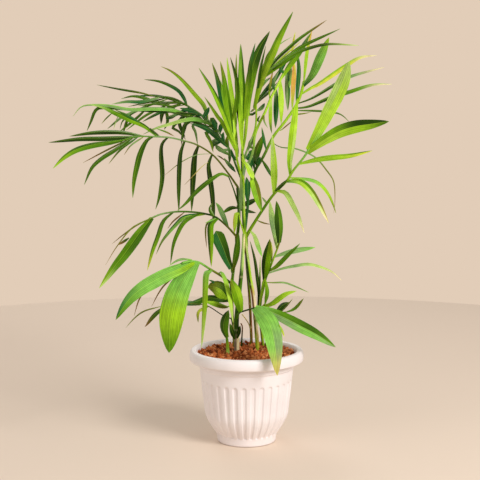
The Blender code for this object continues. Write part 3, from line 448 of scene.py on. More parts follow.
def crushedMix():
    least, largest = pottingMix["chipSize"]
    tree, given = newTree("crushedMix", {
        "Lumps": ("Float", pottingMix["lumps"] * mm), "Chips": ("Float", pottingMix["chips"]),
        "Bed Radius": ("Float", pottingMix["bedRadius"] * mm), "Seed": ("Int", pottingMix["seed"]),
        "Least Chip": ("Float", least * mm), "Largest Chip": ("Float", largest * mm),
        "Mix": ("Material", None)})
    bed = sweptRound(tree, given["Geometry"], pottingMix["segments"])
    z = add(tree, "ShaderNodeSeparateXYZ", [add(tree, "GeometryNodeInputPosition")], out="Z")
    onTop = add(tree, "ShaderNodeMapRange", [z, *[height * mm for height in pottingMix["top"]]])
    lift = add(tree, "ShaderNodeTexNoise", {"Scale": 1 / (pottingMix["lumpWidth"] * mm), "Detail": 4.0})
    lift = add(tree, "ShaderNodeMath", [lift, 0.5], operation="SUBTRACT")
    for factor in (onTop, given["Lumps"]):
        lift = add(tree, "ShaderNodeMath", [lift, factor], operation="MULTIPLY")
    bed = add(tree, "GeometryNodeSetPosition", {"Geometry": bed, "Offset": add(
        tree, "ShaderNodeCombineXYZ", {"Z": lift})})
    # the bed between the chips is dark: painted shade in the gaps
    bed = add(tree, "GeometryNodeStoreNamedAttribute", {"Geometry": bed, "Name": "chipShade",
                                                        "Value": pottingMix["paintedGapShade"]})
    disc = add(tree, "GeometryNodeMeshCircle", {"Vertices": 64, "Radius": given["Bed Radius"]},
               fill_type="NGON")
    area = add(tree, "ShaderNodeMath", [given["Bed Radius"], 2.0], operation="POWER")
    density = given["Chips"]
    for factor in (math.pi, area):
        density = add(tree, "ShaderNodeMath", [density, factor], operation="DIVIDE")
    spots = add(tree, "GeometryNodeDistributePointsOnFaces", {"Mesh": disc, "Density": density,
                                                              "Seed": given["Seed"]})
    low, high = pottingMix["chipHeights"]
    height = add(tree, "FunctionNodeRandomValue", {"Min": low * mm, "Max": high * mm, "Seed": 3})
    spots = add(tree, "GeometryNodeSetPosition", {"Geometry": spots, "Offset": add(
        tree, "ShaderNodeCombineXYZ", {"Z": height})})
    kinds = tree.nodes.new("GeometryNodeJoinGeometry")
    for seed in range(pottingMix["chipKinds"]):
        # a chip is the hull of a few corners thrown into a box
        corner = add(tree, "FunctionNodeRandomValue", {"Min": (-0.5, -0.5, -0.5), "Max": (0.5, 0.5, 0.5),
                                                       "Seed": seed + 20}, data_type="FLOAT_VECTOR")
        corners = add(tree, "GeometryNodePoints", {"Count": pottingMix["chipCorners"], "Position": corner})
        chip = add(tree, "GeometryNodeConvexHull", [corners])
        tree.links.new(add(tree, "GeometryNodeGeometryToInstance", [chip]), kinds.inputs[0])
    turn = add(tree, "FunctionNodeRandomValue", {"Min": (0, 0, 0), "Max": (6.28, 6.28, 6.28), "Seed": 5},
               data_type="FLOAT_VECTOR")
    slim, stout = pottingMix["chipForm"]
    shape = add(tree, "FunctionNodeRandomValue", {"Min": slim, "Max": stout, "Seed": 6},
                data_type="FLOAT_VECTOR")
    # many small chips and few large ones
    bulk = add(tree, "FunctionNodeRandomValue", {"Min": 0.0, "Max": 1.0, "Seed": 7})
    bulk = add(tree, "ShaderNodeMath", [bulk, pottingMix["smallChips"]], operation="POWER")
    bulk = add(tree, "ShaderNodeMapRange", [bulk, 0.0, 1.0, given["Least Chip"], given["Largest Chip"]])
    size = add(tree, "ShaderNodeVectorMath", {0: shape, "Scale": bulk}, operation="SCALE")
    chips = add(tree, "GeometryNodeInstanceOnPoints", {
        "Points": spots, "Instance": kinds.outputs[0], "Pick Instance": True,
        "Rotation": turn, "Scale": size})
    dark, pale = pottingMix["chipShades"]
    shade = add(tree, "FunctionNodeRandomValue", {"Min": dark, "Max": pale, "Seed": 8})
    chips = add(tree, "GeometryNodeStoreNamedAttribute", {"Geometry": chips, "Name": "chipShade",
                                                          "Value": shade}, domain="INSTANCE")
    whole = add(tree, "GeometryNodeJoinGeometry", [bed])
    tree.links.new(chips, whole.node.inputs[0])
    finishTree(tree, whole, (given["Mix"], True))
    return tree


def makePottingMix():
    # the solid is walked from the top's middle outwards, so that its faces look out
    line = turnedLine(evenly(pottingMix["outline"], pottingMix["spacing"]))[::-1]
    guide = guideLines("mixOutline", [[{"place": spot} for spot in line]], {})
    piece = grow("crushedPottingMix", guide, crushedMix(), {"Mix": soilMaterial})
    standFor(piece, "potting_mix")
    print("potting mix made,", len(piece.data.polygons), "faces")


makePottingMix()


# cm: radii at foot, middle and top; route as (x, z, depth); rings by height; tones by height, the left half's
# and the right half's set apart by a bar
# the halves' tones paint the light and shade on each cane's two sides along with its own colours; the grey
# cane's cream right half is a painted highlight
canes = {
    "main_cane": {
        "radii": (0.27, 0.25, 0.22),
        "route": [(1.45, 11.9, 2.3), (1.35, 13.6, 2.2), (1.2, 15.6, 2), (1.05, 17.4, 1.9), (0.85, 19.4, 1.7),
                  (0.45, 21.6, 1.5), (0.15, 23.8, 1.3), (-0.15, 26, 1.2), (-0.32, 28.4, 1.1), (-0.42, 31, 1),
                  (-0.47, 33.8, 0.9), (-0.52, 36, 0.8), (-0.56, 37.8, 0.6)],
        "tones": [(12, "lime|yellow"), (13.4, "lime|straw"), (14.6, "olive|cream"), (15.9, "olive|leaf"),
                  (16.6, "brown|cream"), (18.8, "brown|cream"), (19.5, "brown|straw"), (20.6, "deep|bright"),
                  (22.5, "deep|lime"), (24, "deep|pale"), (25.5, "brown|pale"), (27, "brown|lime"),
                  (28.5, "dark|leaf"), (30, "leaf|bright"), (32, "leaf|pale"), (34, "leaf|lime"),
                  (36, "dark|lime"), (38, "leaf|bright")],
        "rings": [13.4, 15.9, 20.6, 25.6, 30.8]},
    "left_cane": {
        "radii": (0.17, 0.2, 0.22),
        "route": [(-1.6, 12.4, 3.6), (-1.75, 15, 3.4), (-1.9, 18, 3.2), (-1.88, 21, 3), (-1.6, 23.6, 2.8),
                  (-1.3, 26.2, 2.6), (-1.02, 29, 2.4), (-1, 31.2, 2.3), (-1.15, 33.4, 2.2)],
        "tones": [(12, "olive|straw"), (16, "dark|olive"), (22, "dark|leaf"), (25, "olive|leaf"),
                  (28, "leaf|dark"), (31, "deep|mist"), (34, "deep|mist")],
        "rings": [14.6, 19.2, 24.6]},
    "grey_cane": {
        "radii": (0.38, 0.3, 0.18),
        "route": [(-1.3, 11.7, 1.4), (-1.3, 13.8, 1.3), (-1.32, 16, 1), (-1.1, 18.4, 0.5), (-0.85, 20.6, 0.1),
                  (-0.62, 23, -0.1), (-0.46, 25.4, -0.2), (-0.36, 27.4, -0.2)],
        "tones": [(12, "husk|cream"), (13.6, "husk|cream"), (14.2, "dark|deep"), (17.3, "dark|deep"),
                  (18.2, "mist|leaf"), (20, "dark|leaf"), (22, "deep|dark"), (23.5, "mist|pale"),
                  (25, "mist|pale"), (26.5, "pale|cream"), (28, "leaf|lime")],
        "rings": [13.1, 14.5, 18.1, 21.8]},
    "back_cane": {
        "radii": (0.2, 0.18, 0.16),
        "route": [(0.65, 12.6, 5.2), (0.55, 15.5, 4.8), (0.42, 18.4, 4.3), (0.22, 21, 3.8), (0.02, 23.4, 3.2),
                  (-0.06, 25.2, 2.8), (-0.1, 26.8, 2.4)],
        "tones": [(12, "brown|brown"), (15.5, "deep|brown"), (17, "brown|olive"), (22, "deep|leaf"),
                  (27, "leaf|lime")],
        "rings": [14.2, 17.5, 22.3]},
    "right_cane": {
        "radii": (0.2, 0.2, 0.18),
        "route": [(2.15, 12.4, 4.4), (2, 14.2, 4.3), (1.75, 16.6, 4.1), (1.85, 18.8, 3.9), (2.2, 20.9, 3.7)],
        "tones": [(12, "olive|lime"), (15, "olive|lime"), (18, "mist|dark"), (21, "olive|lime")],
        "rings": [14, 16.8]},
}
caneForm = {
    "foot": 9.6,        # cm: the height in the potting mix that the canes stand at
    "ringHeight": 0.35, "ringWidth": 1.3, "spacing": 2,     # mm
    "sides": 20, "sharp": 60,                               # count, degrees
}


def canePath(cane):
    points = [place(*point) for point in cane["route"]]
    foot = points[0].copy()
    foot.z = caneForm["foot"] * cm
    return smoothPath([foot, *points], caneForm["spacing"])


def caneRadius(cane, u):
    foot, middle, top = cane["radii"]
    if u < 0.5:
        return (foot + (middle - foot) * u * 2) * cm
    return (middle + (top - middle) * (u * 2 - 1)) * cm


def toneBetween(stops, at):
    # stops as (value, colour word), blended in between
    for (low, first), (high, second) in zip(stops, stops[1:]):
        if at < high:
            t = max(0.0, (at - low) / (high - low))
            t = t * t * (3 - 2 * t)
            return [a + (b - a) * t for a, b in zip(linear(leafTones[first]), linear(leafTones[second]))]
    return linear(leafTones[stops[-1][1]])


def ringedCane():
    tree, given = newTree("ringedCane", {
        "Sides": ("Int", caneForm["sides"]), "Ring Height": ("Float", caneForm["ringHeight"] * mm),
        "Skin": ("Material", None)})
    lines = add(tree, "GeometryNodeMeshToCurve", [given["Geometry"]])
    # the section's x runs to the right all the way up, and each point keeps how far right it is
    lines = add(tree, "GeometryNodeSetCurveNormal", {"Curve": lines, "Normal": (1, 0, 0)}, mode="FREE")
    section = add(tree, "GeometryNodeCurvePrimitiveCircle", {"Resolution": given["Sides"], "Radius": 1.0},
                  mode="RADIUS")
    sideways = add(tree, "ShaderNodeSeparateXYZ", [add(tree, "GeometryNodeInputPosition")])
    section = add(tree, "GeometryNodeStoreNamedAttribute", {"Geometry": section, "Name": "sideways",
                                                            "Value": sideways})
    ring, radius = [add(tree, "GeometryNodeInputNamedAttribute", [name]) for name in ("ring", "halfWidth")]
    radius = add(tree, "ShaderNodeMath", [ring, given["Ring Height"], radius], operation="MULTIPLY_ADD")
    swept = add(tree, "GeometryNodeCurveToMesh", {"Curve": lines, "Profile Curve": section, "Scale": radius,
                                                  "Fill Caps": True})
    finishTree(tree, add(tree, "GeometryNodeSetShadeSmooth", [swept]), (given["Skin"], True))
    return tree


stemValues = {"halfWidth": "FLOAT", "minusTone": "FLOAT_COLOR", "plusTone": "FLOAT_COLOR", "ring": "FLOAT"}
caneTree = ringedCane()
canePaths = {name: canePath(cane) for name, cane in canes.items()}


def makeCane(name):
    cane = canes[name]
    path = canePaths[name]
    left, right = [[(height, words.split("|")[half]) for height, words in cane["tones"]] for half in (0, 1)]
    line = []
    for i, spot in enumerate(path):
        height = spot.z / cm
        rings = [math.exp(-((height - at) * cm / (caneForm["ringWidth"] * mm)) ** 2) for at in cane["rings"]]
        line.append({"place": spot, "halfWidth": caneRadius(cane, i / (len(path) - 1)),
                     "ring": min(sum(rings), 1.0), "minusTone": toneBetween(left, height),
                     "plusTone": toneBetween(right, height)})
    guide = guideLines(name + "Line", [line], stemValues)
    piece = grow(name + "Ringed", guide, caneTree, {"Skin": stemMaterial}, caneForm["sharp"])
    standFor(piece, name)


for name in canes:
    makeCane(name)
print(len(canes), "canes made")


# Each frond: its cane, the stalk's radii in mm at foot and tip, its route in cm as (x, z, depth), and its
# blades as (share along the stalk, or the point, that it springs from, width in cm, share of the length where
# it is widest, tones from foot to tip with the two halves set apart by a bar, route). Tones name leafTones.
# the tones carry painted light and shade: a lit and a shaded half on a blade, and lit and shaded leaves
fronds = {
    "frond_long_left": {
        "cane": "left_cane", "girth": (1.2, 1), "stalkTones": "olive olive mist leaf",
        "stalk": [(-1.45, 34.2, 2.5), (-2.4, 35.3, 2.7), (-4.2, 37.5, 2.3), (-6.3, 38.9, 1.8),
            (-8.2, 39.5, 1.2), (-10, 39.9, 0.5), (-12, 40, 0.2), (-14.2, 40, 0), (-16, 39.5, -0.3)],
        "blades": [
            (0.31, 0.68, 0.35, "deep", [(-4.95, 36.4, 1.6), (-4.8, 34.8, 1.5), (-4.5, 32.6, 1.4),
                (-4.32, 30.1, 1.2), (-4.3, 28.2, 1.1)]),
            (0.43, 0.76, 0.35, "deep deep dark", [(-6.75, 37.3, 2.6), (-7, 34, 3.4), (-7.15, 30.3, 3.8)]),
            (0.54, 0.68, 0.4, "deep dark", [(-8.6, 37.6, 0.5), (-8.82, 34, 0), (-8.8, 30.3, -0.3)]),
            (0.67, 0.68, 0.4, "dark leaf|deep dark", [(-10.9, 39.1, 1), (-11.08, 37.6, 1.7),
                (-10.95, 34.8, 2.2), (-11.35, 32.2, 2.6), (-11.8, 30.6, 2.8)]),
            (0.74, 0.64, 0.45, "dark dark leaf mint|leaf fresh leaf pale", [(-13.2, 41.4, 0.8),
                (-15, 42.2, 1.2), (-17, 43.1, 1.6), (-18.5, 43.8, 2), (-19.9, 44.05, 2.1)]),
            (0.78, 0.7, 0.4, "dark leaf fresh|deep dark leaf", [(-12.9, 39.5, -0.5), (-13.7, 38, -1.2),
                (-14.2, 36.2, -2.1), (-14.6, 34.2, -2.6), (-14.75, 32.1, -2.8)]),
            (0.84, 0.62, 0.45, "mist mist leaf dark|dark deep dark", [(-15.5, 40.5, 2.2), (-17.5, 40.62, 3.2),
                (-20, 40.5, 5.5), (-22.8, 40.05, 7)]),
            (0.84, 0.22, 0.4, "olive mist brown", [(-14.9, 38.9, -1.7), (-15.8, 37.65, -2.6)]),
            (0.88, 0.7, 0.4, "mist dark dark deep|deep", [(-18, 39.8, 1.8), (-21.5, 39.72, 3),
                (-25.5, 39.25, 4)]),
            (0.88, 0.3, 0.35, "teal dark olive", [(-16.2, 38.4, -2.8), (-17.8, 36.5, -4.6)]),
            (0.92, 0.55, 0.5, "dark", [(-17, 38.3, -3.6), (-18.6, 37.3, -5), (-20, 36, -6),
                (-21, 33.8, -7.1)]),
            (0.92, 0.25, 0.4, "olive brown", [(-18, 38.3, 3.2), (-21.1, 36.65, 4.6)]),
            (1, 0.8, 0.45, "leaf dark fresh|dark leaf lime", [(-17.5, 39.25, -0.5), (-20, 38.9, -1.2),
                (-22, 38.3, -2), (-23.6, 37.3, -2.8), (-25, 35.9, -3.6)]),
            ((-16.4, 42.8, 1.5), 0.14, 0.5, "mist pale", [(-16.8, 42, 1.6), (-17.1, 41, 1.7)]),
            ((-17.2, 43.1, 1.6), 0.18, 0.4, "dark olive", [(-18, 42.4, 1.8), (-18.65, 41.65, 2)]),
            ((-12.4, 41.1, 0.5), 0.3, 0.5, "deep", [(-11.9, 40.6, 0.5), (-11.2, 40.1, 0.5)]),
            ((-13.3, 41.5, 0.9), 0.3, 0.4, "teal dark", [(-15, 42.6, 1.5), (-17, 43.5, 2)]),
            ((-11.5, 41, 1.2), 0.22, 0.5, "leaf brown", [(-10.3, 40.6, 1.2), (-9.3, 40.05, 1.2)]),
            ((-4.7, 37.8, 2.2), 0.14, 0.5, "mist mist olive brown", [(-6.5, 37.65, 1.6), (-8.5, 36.7, 1),
                (-10.55, 35.05, 0.5)]),
            ((-4.95, 36.7, 1.6), 0.12, 0.5, "straw brown", [(-5.6, 36.3, 1.4), (-6.6, 35.3, 1.2),
                (-8, 33.8, 1)])]},
    "leaf_left_curved": {
        "cane": "left_cane", "girth": (1, 0.8), "stalkTones": "dark",
        "stalk": [(-1.45, 31.6, 1.9), (-1.75, 33.4, 1.2), (-2.35, 34.9, 0.3)],
        "blades": [
            (1, 0.58, 0.5, "leaf dark leaf", [(-3.3, 35.25, -0.3), (-4.8, 34.35, -1), (-6.5, 32.95, -1.3),
                (-8, 31.3, -1.3), (-9, 30.45, -1.2)])]},
    "frond_upper_left": {
        "cane": "main_cane", "girth": (1.4, 0.8), "stalkTones": "dark mist dark",
        "stalk": [(-0.9, 34.5, 1.4), (-1.35, 36.2, 2.6), (-2, 38, 4.1), (-2.8, 39.4, 5.4), (-3.7, 40.8, 6.3),
            (-4.9, 42.1, 7.3), (-6.5, 43.3, 8.5), (-8, 44.1, 9.5), (-10, 44.8, 10.8), (-12, 45.2, 12.1)],
        "blades": [
            (0.27, 0.7, 0.45, "bluegreen teal", [(-3.9, 40.1, 3.4), (-5, 40.95, 1.9), (-6.1, 41.4, 1.1),
                (-7.3, 41.7, 0.7)]),
            (0.36, 0.55, 0.5, "mist dark", [(-4.3, 39.4, 4.9), (-4.4, 38.2, 4.1)]),
            (0.42, 0.45, 0.5, "dark leaf lime", [(-5.2, 40.5, 4.3), (-4.7, 39.5, 3.9), (-4.3, 37.95, 3.5)]),
            (0.47, 0.55, 0.4, "leaf mint pale mist", [(-6.4, 42.25, 3.8), (-8, 42.15, 2.8), (-10, 41.6, 2),
                (-11.8, 41.05, 1.8), (-13.3, 40.3, 1.6)]),
            ((-4.2, 41.1, 6.2), 0.3, 0.5, "dark deep leaf", [(-5.5, 41.5, 5), (-7, 41.95, 3.6),
                (-9, 41.8, 2.6)]),
            (0.53, 0.42, 0.4, "dark leaf|mist", [(-6.9, 41.5, 5.2), (-6.6, 40.6, 4.7), (-6.3, 38.9, 4.1)]),
            (0.53, 0.6, 0.2, "teal lime fresh olive|lime lime olive brown", [(-5.4, 43.9, 8.3),
                (-6.6, 45.4, 9.2), (-8.3, 47.3, 9.8), (-9.7, 48.4, 10.3), (-10.95, 48.95, 10.6)]),
            (0.6, 0.5, 0.3, "mint mist mint pale|fresh mint mist mist", [(-7.5, 42.85, 7.4),
                (-9.5, 43.45, 6.2), (-12, 43.6, 4.8), (-15, 43.5, 4), (-17.5, 43.95, 3.6),
                (-19.5, 44.08, 3.4), (-21.2, 43.85, 3.2), (-22.3, 42.6, 3.1)]),
            (0.6, 0.42, 0.8, "deep dark", [(-8.5, 43.1, 6.6), (-13, 43.35, 5.2), (-18.2, 43.75, 4.5),
                (-19.4, 43.4, 4.2), (-20, 42, 4), (-20.55, 40.7, 3.9)]),
            ((-6.2, 42.9, 7.6), 0.3, 0.5, "dark deep deep", [(-7.4, 42.55, 6.9), (-8.7, 42.9, 6),
                (-10.2, 43.2, 5.4)]),
            (0.6, 0.52, 0.5, "deep dark", [(-7.9, 41.6, 5.9), (-8.2, 40.4, 5.3), (-8.4, 39.5, 5)]),
            (0.67, 0.45, 0.4, "deep dark", [(-9.5, 41.3, 7.2), (-8.8, 40.7, 6.9), (-7.8, 39.6, 6.6)]),
            (0.72, 0.52, 0.25, "bluegreen teal dark deep", [(-8, 44.9, 10.3), (-8.6, 45.8, 10.8),
                (-9.8, 46.55, 11.2), (-11.3, 47.1, 11.6), (-13.1, 47.3, 11.9)]),
            (0.77, 0.6, 0.5, "dark deep", [(-10.7, 43.2, 8.7), (-11, 41.6, 7.7)]),
            (0.82, 0.35, 0.5, "dark leaf", [(-12.3, 43.1, 8.8), (-13.6, 42.3, 8), (-15.5, 40.8, 6.9)]),
            (0.8, 0.5, 0.5, "dark mist leaf dark", [(-11.5, 44.4, 13.2), (-13.2, 45, 15), (-14.6, 45.2, 16.3),
                (-16.1, 44.85, 17)]),
            (0.88, 0.35, 0.5, "dark", [(-13.6, 43.6, 9.8), (-15.8, 42.2, 9.2), (-16.3, 40.9, 8.8)]),
            (0.9, 0.3, 0.4, "dark deep", [(-13, 44.35, 13.6), (-15.2, 43.85, 14.6)]),
            (0.94, 0.45, 0.5, "mist teal mist", [(-13.6, 44.5, 9.6), (-15.4, 44.5, 9), (-17.3, 44.15, 8.4)]),
            (1, 0.3, 0.4, "olive deep deep", [(-13.5, 45.6, 12.9), (-16.5, 46.12, 14.2),
                (-19.2, 46.62, 15.1)]),
            (0.66, 0.32, 0.5, "dark deep", [(-8.2, 44.3, 9.6), (-9.7, 44.35, 10.2), (-11.2, 44.05, 10.6)]),
            (0.7, 0.32, 0.5, "deep dark", [(-9, 44.75, 10.4), (-10.6, 45.1, 11.2), (-12.2, 44.9, 11.8)]),
            (0.74, 0.3, 0.5, "dark", [(-9.6, 43.9, 9.4), (-11.6, 44.2, 9), (-13.9, 43.95, 8.8)]),
            (0.62, 0.5, 0.5, "teal", [(-7.8, 43.5, 8.2), (-8.6, 43.65, 8)]),
            (0.58, 0.45, 0.5, "teal", [(-6.8, 43, 7.6), (-7.5, 43.05, 7.4)]),
            (0.64, 0.5, 0.5, "deep", [(-7.3, 43.5, 9), (-8.1, 43.15, 8.8)]),
            (0.7, 0.5, 0.5, "teal mist", [(-9.3, 42.75, 8), (-10.2, 42.55, 7.6)]),
            ((-10.6, 43.9, 9.2), 0.5, 0.5, "dark leaf deep", [(-10.3, 42.9, 8.6), (-10.2, 41.9, 8.2),
                (-10.6, 40.9, 8)]),
            ((-12.6, 44, 9.4), 0.42, 0.5, "deep dark leaf", [(-13.6, 42.9, 8.8), (-14.9, 41.8, 8.2),
                (-16.4, 40.6, 7.8)]),
            ((-14.4, 43.7, 9), 0.36, 0.5, "dark", [(-15.2, 42.4, 8.4), (-15.7, 41.2, 8), (-15.9, 40.2, 7.8)]),
            ((-13.2, 43.6, 8.4), 0.36, 0.5, "dark mist dark", [(-14.6, 43.2, 8), (-16.2, 42.4, 7.6),
                (-17.9, 41, 7.3)]),
            ((-9.2, 43.6, 8.4), 0.4, 0.5, "teal dark", [(-10.4, 43.4, 7.8), (-12, 42.7, 7.2),
                (-13.4, 41.9, 6.8)]),
            ((-8.8, 44.4, 9.9), 0.34, 0.5, "deep teal", [(-10.2, 45, 11), (-12.2, 45.3, 12.6),
                (-14.2, 45.2, 14)]),
            (0.5, 0.45, 0.5, "dark", [(-4.5, 42.45, 7.2), (-3.7, 41.6, 7)]),
            (0.4, 0.6, 0.5, "teal", [(-3.4, 41.2, 6.2), (-3.3, 41.75, 6.2)]),
            (0.33, 0.45, 0.5, "teal", [(-3.05, 40.1, 5), (-2.95, 40.6, 5)]),
            (0.27, 0.5, 0.5, "dark olive", [(-2.5, 39.5, 4.4), (-2.4, 40.2, 4.2)]),
            ((-2.3, 38.4, 4.6), 0.5, 0.5, "mist", [(-3.2, 38.25, 4.2), (-4.05, 38.6, 3.8)]),
            ((-1.6, 36, 2.4), 0.3, 0.5, "bluegreen mist", [(-2.2, 36.4, 2.4), (-2.75, 36.8, 2.4)]),
            ((-2.75, 36.9, 2.3), 0.2, 0.5, "brown deep", [(-3.3, 37.35, 2.2), (-3.8, 37.6, 2.1)]),
            ((-8.4, 42.6, 8), 0.5, 0.4, "deep dark", [(-8.7, 41.8, 7.6), (-8.4, 40.8, 7.2), (-7.9, 39.9, 7)]),
            ((-7.5, 42.9, 8), 0.5, 0.4, "dark deep", [(-7.9, 41.6, 7), (-8.3, 40, 6.6), (-8.4, 38.9, 6.3)]),
            ((-5.6, 42.4, 7.2), 0.6, 0.5, "teal", [(-5.2, 43.1, 7.6), (-4.8, 43.8, 7.8)]),
            ((-3.9, 40.9, 6.2), 0.7, 0.5, "teal bluegreen", [(-4, 41.6, 6.3), (-4.4, 42.3, 6.5)]),
            ((-3, 39.6, 5.4), 0.5, 0.5, "teal mist", [(-3.7, 39.3, 5.2), (-4.6, 38.7, 5)]),
            ((-2.4, 38.7, 4.6), 0.45, 0.5, "mist dark", [(-2.15, 37.6, 4.2), (-2.2, 36.6, 4)]),
            ((-4.1, 39, 4.6), 0.55, 0.5, "mist mist dark", [(-3.2, 38.3, 4.2), (-2.2, 37.6, 3.8)]),
            ((-2.9, 37.2, 3.4), 0.5, 0.5, "mist teal", [(-2.1, 36.3, 3), (-1.4, 35.4, 2.6)]),
            ((-8.9, 43, 8.4), 0.55, 0.5, "mist teal", [(-9.6, 42.6, 8), (-10.4, 42.3, 7.8)]),
            ((-6.9, 43.3, 8.4), 0.45, 0.5, "dark mist dark", [(-6, 42.4, 7.8), (-5.2, 41.5, 7)]),
            ((-6, 42.9, 8), 0.4, 0.5, "mist teal mist", [(-5, 41.9, 7.2), (-4, 40.8, 6.4),
                (-3.2, 39.6, 5.6)])]},
    "frond_top_left": {
        "cane": "main_cane", "girth": (1.3, 1.3), "stalkTones": "lime lime bright",
        "stalk": [(-1, 35.3, 0.9), (-1.15, 36.6, 0.4), (-1.4, 38.2, -0.1), (-1.7, 39.8, -0.8),
            (-2.25, 41.5, -1.2)],
        "blades": [
            (0.25, 0.45, 0.5, "teal", [(-1.75, 37.6, 1.6), (-1.95, 38.4, 2)]),
            (0.3, 0.42, 0.5, "bluegreen teal", [(-1.15, 38.2, 0.8), (-1.5, 39.9, 1.2)]),
            (0.45, 0.55, 0.4, "lime|lime fresh", [(-2.9, 41.5, 2.6), (-3.7, 42.6, 3.4), (-4.5, 43.8, 4.2),
                (-5.4, 45.1, 5)]),
            (0.6, 0.65, 0.4, "lime lime fresh leaf|fresh leaf dark deep", [(-2.7, 42.4, -3), (-3.4, 44, -3.9),
                (-4.2, 45.7, -4.6), (-5.1, 47.2, -5.1), (-6.1, 48.75, -5.5)]),
            (0.7, 0.85, 0.4, "teal teal teal olive|dark dark dark deep", [(-2.75, 43.4, 1.6),
                (-3.35, 46, 2.9), (-3.8, 47.7, 3.7), (-4.4, 49.4, 4.4)]),
            (0.8, 0.85, 0.35, "lime fresh leaf olive|dark dark leaf olive", [(-2.3, 43.6, -2.6),
                (-2.6, 45.6, -3.6), (-2.9, 47.6, -4.6), (-3.35, 49.6, -5.5)]),
            (0.7, 0.7, 0.3, "bright bright lime lime|bright lime lime fresh", [(-1.5, 42, 0.2),
                (-1.75, 44.2, 1), (-2, 46.2, 1.5), (-2.3, 48.4, 1.9), (-2.5, 50.1, 2.2)]),
            (1, 0.6, 0.4, "lime fresh leaf deep|lime leaf dark deep", [(-1.5, 43.4, -2.2), (-1.2, 46, -3.4),
                (-1.5, 48, -4.4), (-2.1, 50.15, -5.2)]),
            ((-0.72, 30.6, 0.5), 0.42, 0.5, "mist mist pale", [(-0.74, 32.8, 0.5), (-0.8, 35.3, 0.5)]),
            ((-1.9, 40.6, -0.8), 0.5, 0.4, "lime fresh leaf", [(-2.5, 43.2, 0.4), (-3, 45.4, 1.2),
                (-3.3, 47.2, 1.8)]),
            ((-1.1, 37.4, 0.3), 0.48, 0.45, "lime bright leaf", [(-1.35, 40, 0.8), (-1.65, 42.6, 1.2),
                (-1.95, 45.4, 1.5)])]},
    "frond_top_middle": {
        "cane": "main_cane", "girth": (1.3, 1.3), "stalkTones": "lime lime bright",
        "stalk": [(-0.56, 38.1, 0.6), (-0.56, 39, 0.5), (-0.52, 40.6, 0.3), (-0.42, 42, 0)],
        "blades": [
            (0.45, 0.5, 0.4, "dark deep leaf olive|deep deep olive olive", [(-0.95, 42.6, 2.6),
                (-1.1, 44.6, 3.4), (-1.3, 47, 4.1), (-1.3, 50.5, 5)]),
            (0.5, 0.3, 0.5, "deep", [(-0.9, 44.4, 3.4), (-1, 46.8, 4.2), (-1, 49.3, 4.8)]),
            (0.9, 0.88, 0.42, "lime lime fresh leaf|dark dark dark dark", [(-0.55, 43.6, 1.6),
                (-0.48, 46, 2.2), (-0.62, 48.4, 2.7), (-0.75, 51.8, 3.2)]),
            (1, 0.7, 0.4, "lime lime dark teal|lime fresh dark teal", [(-0.25, 43, -0.2), (0, 45, -0.8),
                (0.25, 47.2, -1.5), (0.5, 49.5, -2.1), (1.1, 51.9, -2.6)]),
            ((-0.55, 38.4, 0.4), 0.5, 0.5, "bright lime leaf", [(-0.68, 40, 0), (-0.8, 42.6, -0.3),
                (-0.85, 45.4, -0.5)]),
            ((-0.45, 38.2, 0.5), 0.45, 0.5, "lime bright fresh", [(-0.22, 40, 0.9), (0.02, 42.6, 1.2),
                (0.4, 45.3, 1.4)])]},
    "frond_top_right": {
        "cane": "main_cane", "girth": (1.4, 1.1), "stalkTones": "mist lime bright fresh",
        "stalk": [(-0.2, 36.9, 1.5), (0.15, 38.5, 2.1), (0.7, 39.8, 2.6), (1.15, 41.2, 2.8), (1.25, 43, 2.6),
            (1.2, 44.8, 2), (1.5, 46.3, 1), (2, 47.4, 0.1), (2.7, 48.4, -0.6)],
        "blades": [
            (0.05, 0.75, 0.5, "teal", [(0.25, 37.4, 2.6), (0.6, 38.35, 3)]),
            (0.12, 0.55, 0.5, "mist dark", [(0.5, 39.2, 1.6), (0.85, 40.05, 1.2)]),
            ((1.25, 44.2, 2.3), 0.42, 0.5, "deep dark leaf", [(2, 45, 4), (2.8, 45.7, 5.6),
                (3.9, 46.9, 7.6)]),
            ((1.3, 43.3, 2.5), 0.5, 0.5, "mist teal", [(1.8, 43.6, 2.9), (2.3, 44.3, 3.4)]),
            ((1.25, 43.2, 2.5), 0.4, 0.5, "dark leaf", [(0.7, 42.9, 3.2), (0.1, 43, 3.8)]),
            ((1.25, 43.6, 2.4), 0.3, 0.5, "cream mist", [(0.9, 43.5, 2.8), (0.45, 43.15, 3.2)]),
            ((0.1, 42.6, 2.2), 1.3, 0.45, "lime lime dark deep|lime fresh deep deep", [(0.1, 44.6, 2.8),
                (0.35, 46.8, 3.5), (0.85, 49, 4.3), (1.65, 51.2, 5.2), (2.95, 53.4, 5.9)]),
            (0.66, 0.36, 0.5, "teal teal mist|teal dark deep", [(1.7, 48.4, -2), (2.05, 50, -3.2),
                (2.45, 51.6, -4.2)]),
            (0.72, 0.42, 0.5, "leaf mist", [(2.2, 46.9, 3), (3.1, 47.6, 4.1)]),
            (0.78, 0.65, 0.55, "leaf dark", [(2.3, 48.8, 3.6), (2.75, 50.3, 5), (3.5, 51.6, 6.6)]),
            ((0.95, 43.6, 2), 1, 0.5, "lime lime fresh leaf|lime bright lime leaf", [(1.65, 46.6, 0),
                (2.3, 48.6, -2), (3.2, 50.5, -3.6), (4.2, 52.7, -4.6), (5.9, 55.85, -5.6)]),
            (0.89, 0.2, 0.5, "dark mist", [(3.4, 50.9, 3.6), (4.4, 51.9, 4.9), (5.8, 52.7, 6.1)]),
            (0.93, 0.5, 0.4, "bluegreen leaf leaf brown|dark deep dark brown", [(3.7, 49.8, 2),
                (5.2, 51.2, 2.5), (7, 52.7, 3), (10.2, 54.8, 3.8)]),
            (0.95, 0.25, 0.5, "lime yellow", [(4.4, 49.95, 1), (5.6, 51, 1.2), (6.9, 52.1, 1.4)]),
            (0.95, 0.42, 0.45, "deep leaf deep pale", [(4.3, 49.3, -3.2), (6, 50.5, -4.2), (8, 51.3, -5.2),
                (10.5, 51.8, -6.3), (14.3, 51.6, -7.8)]),
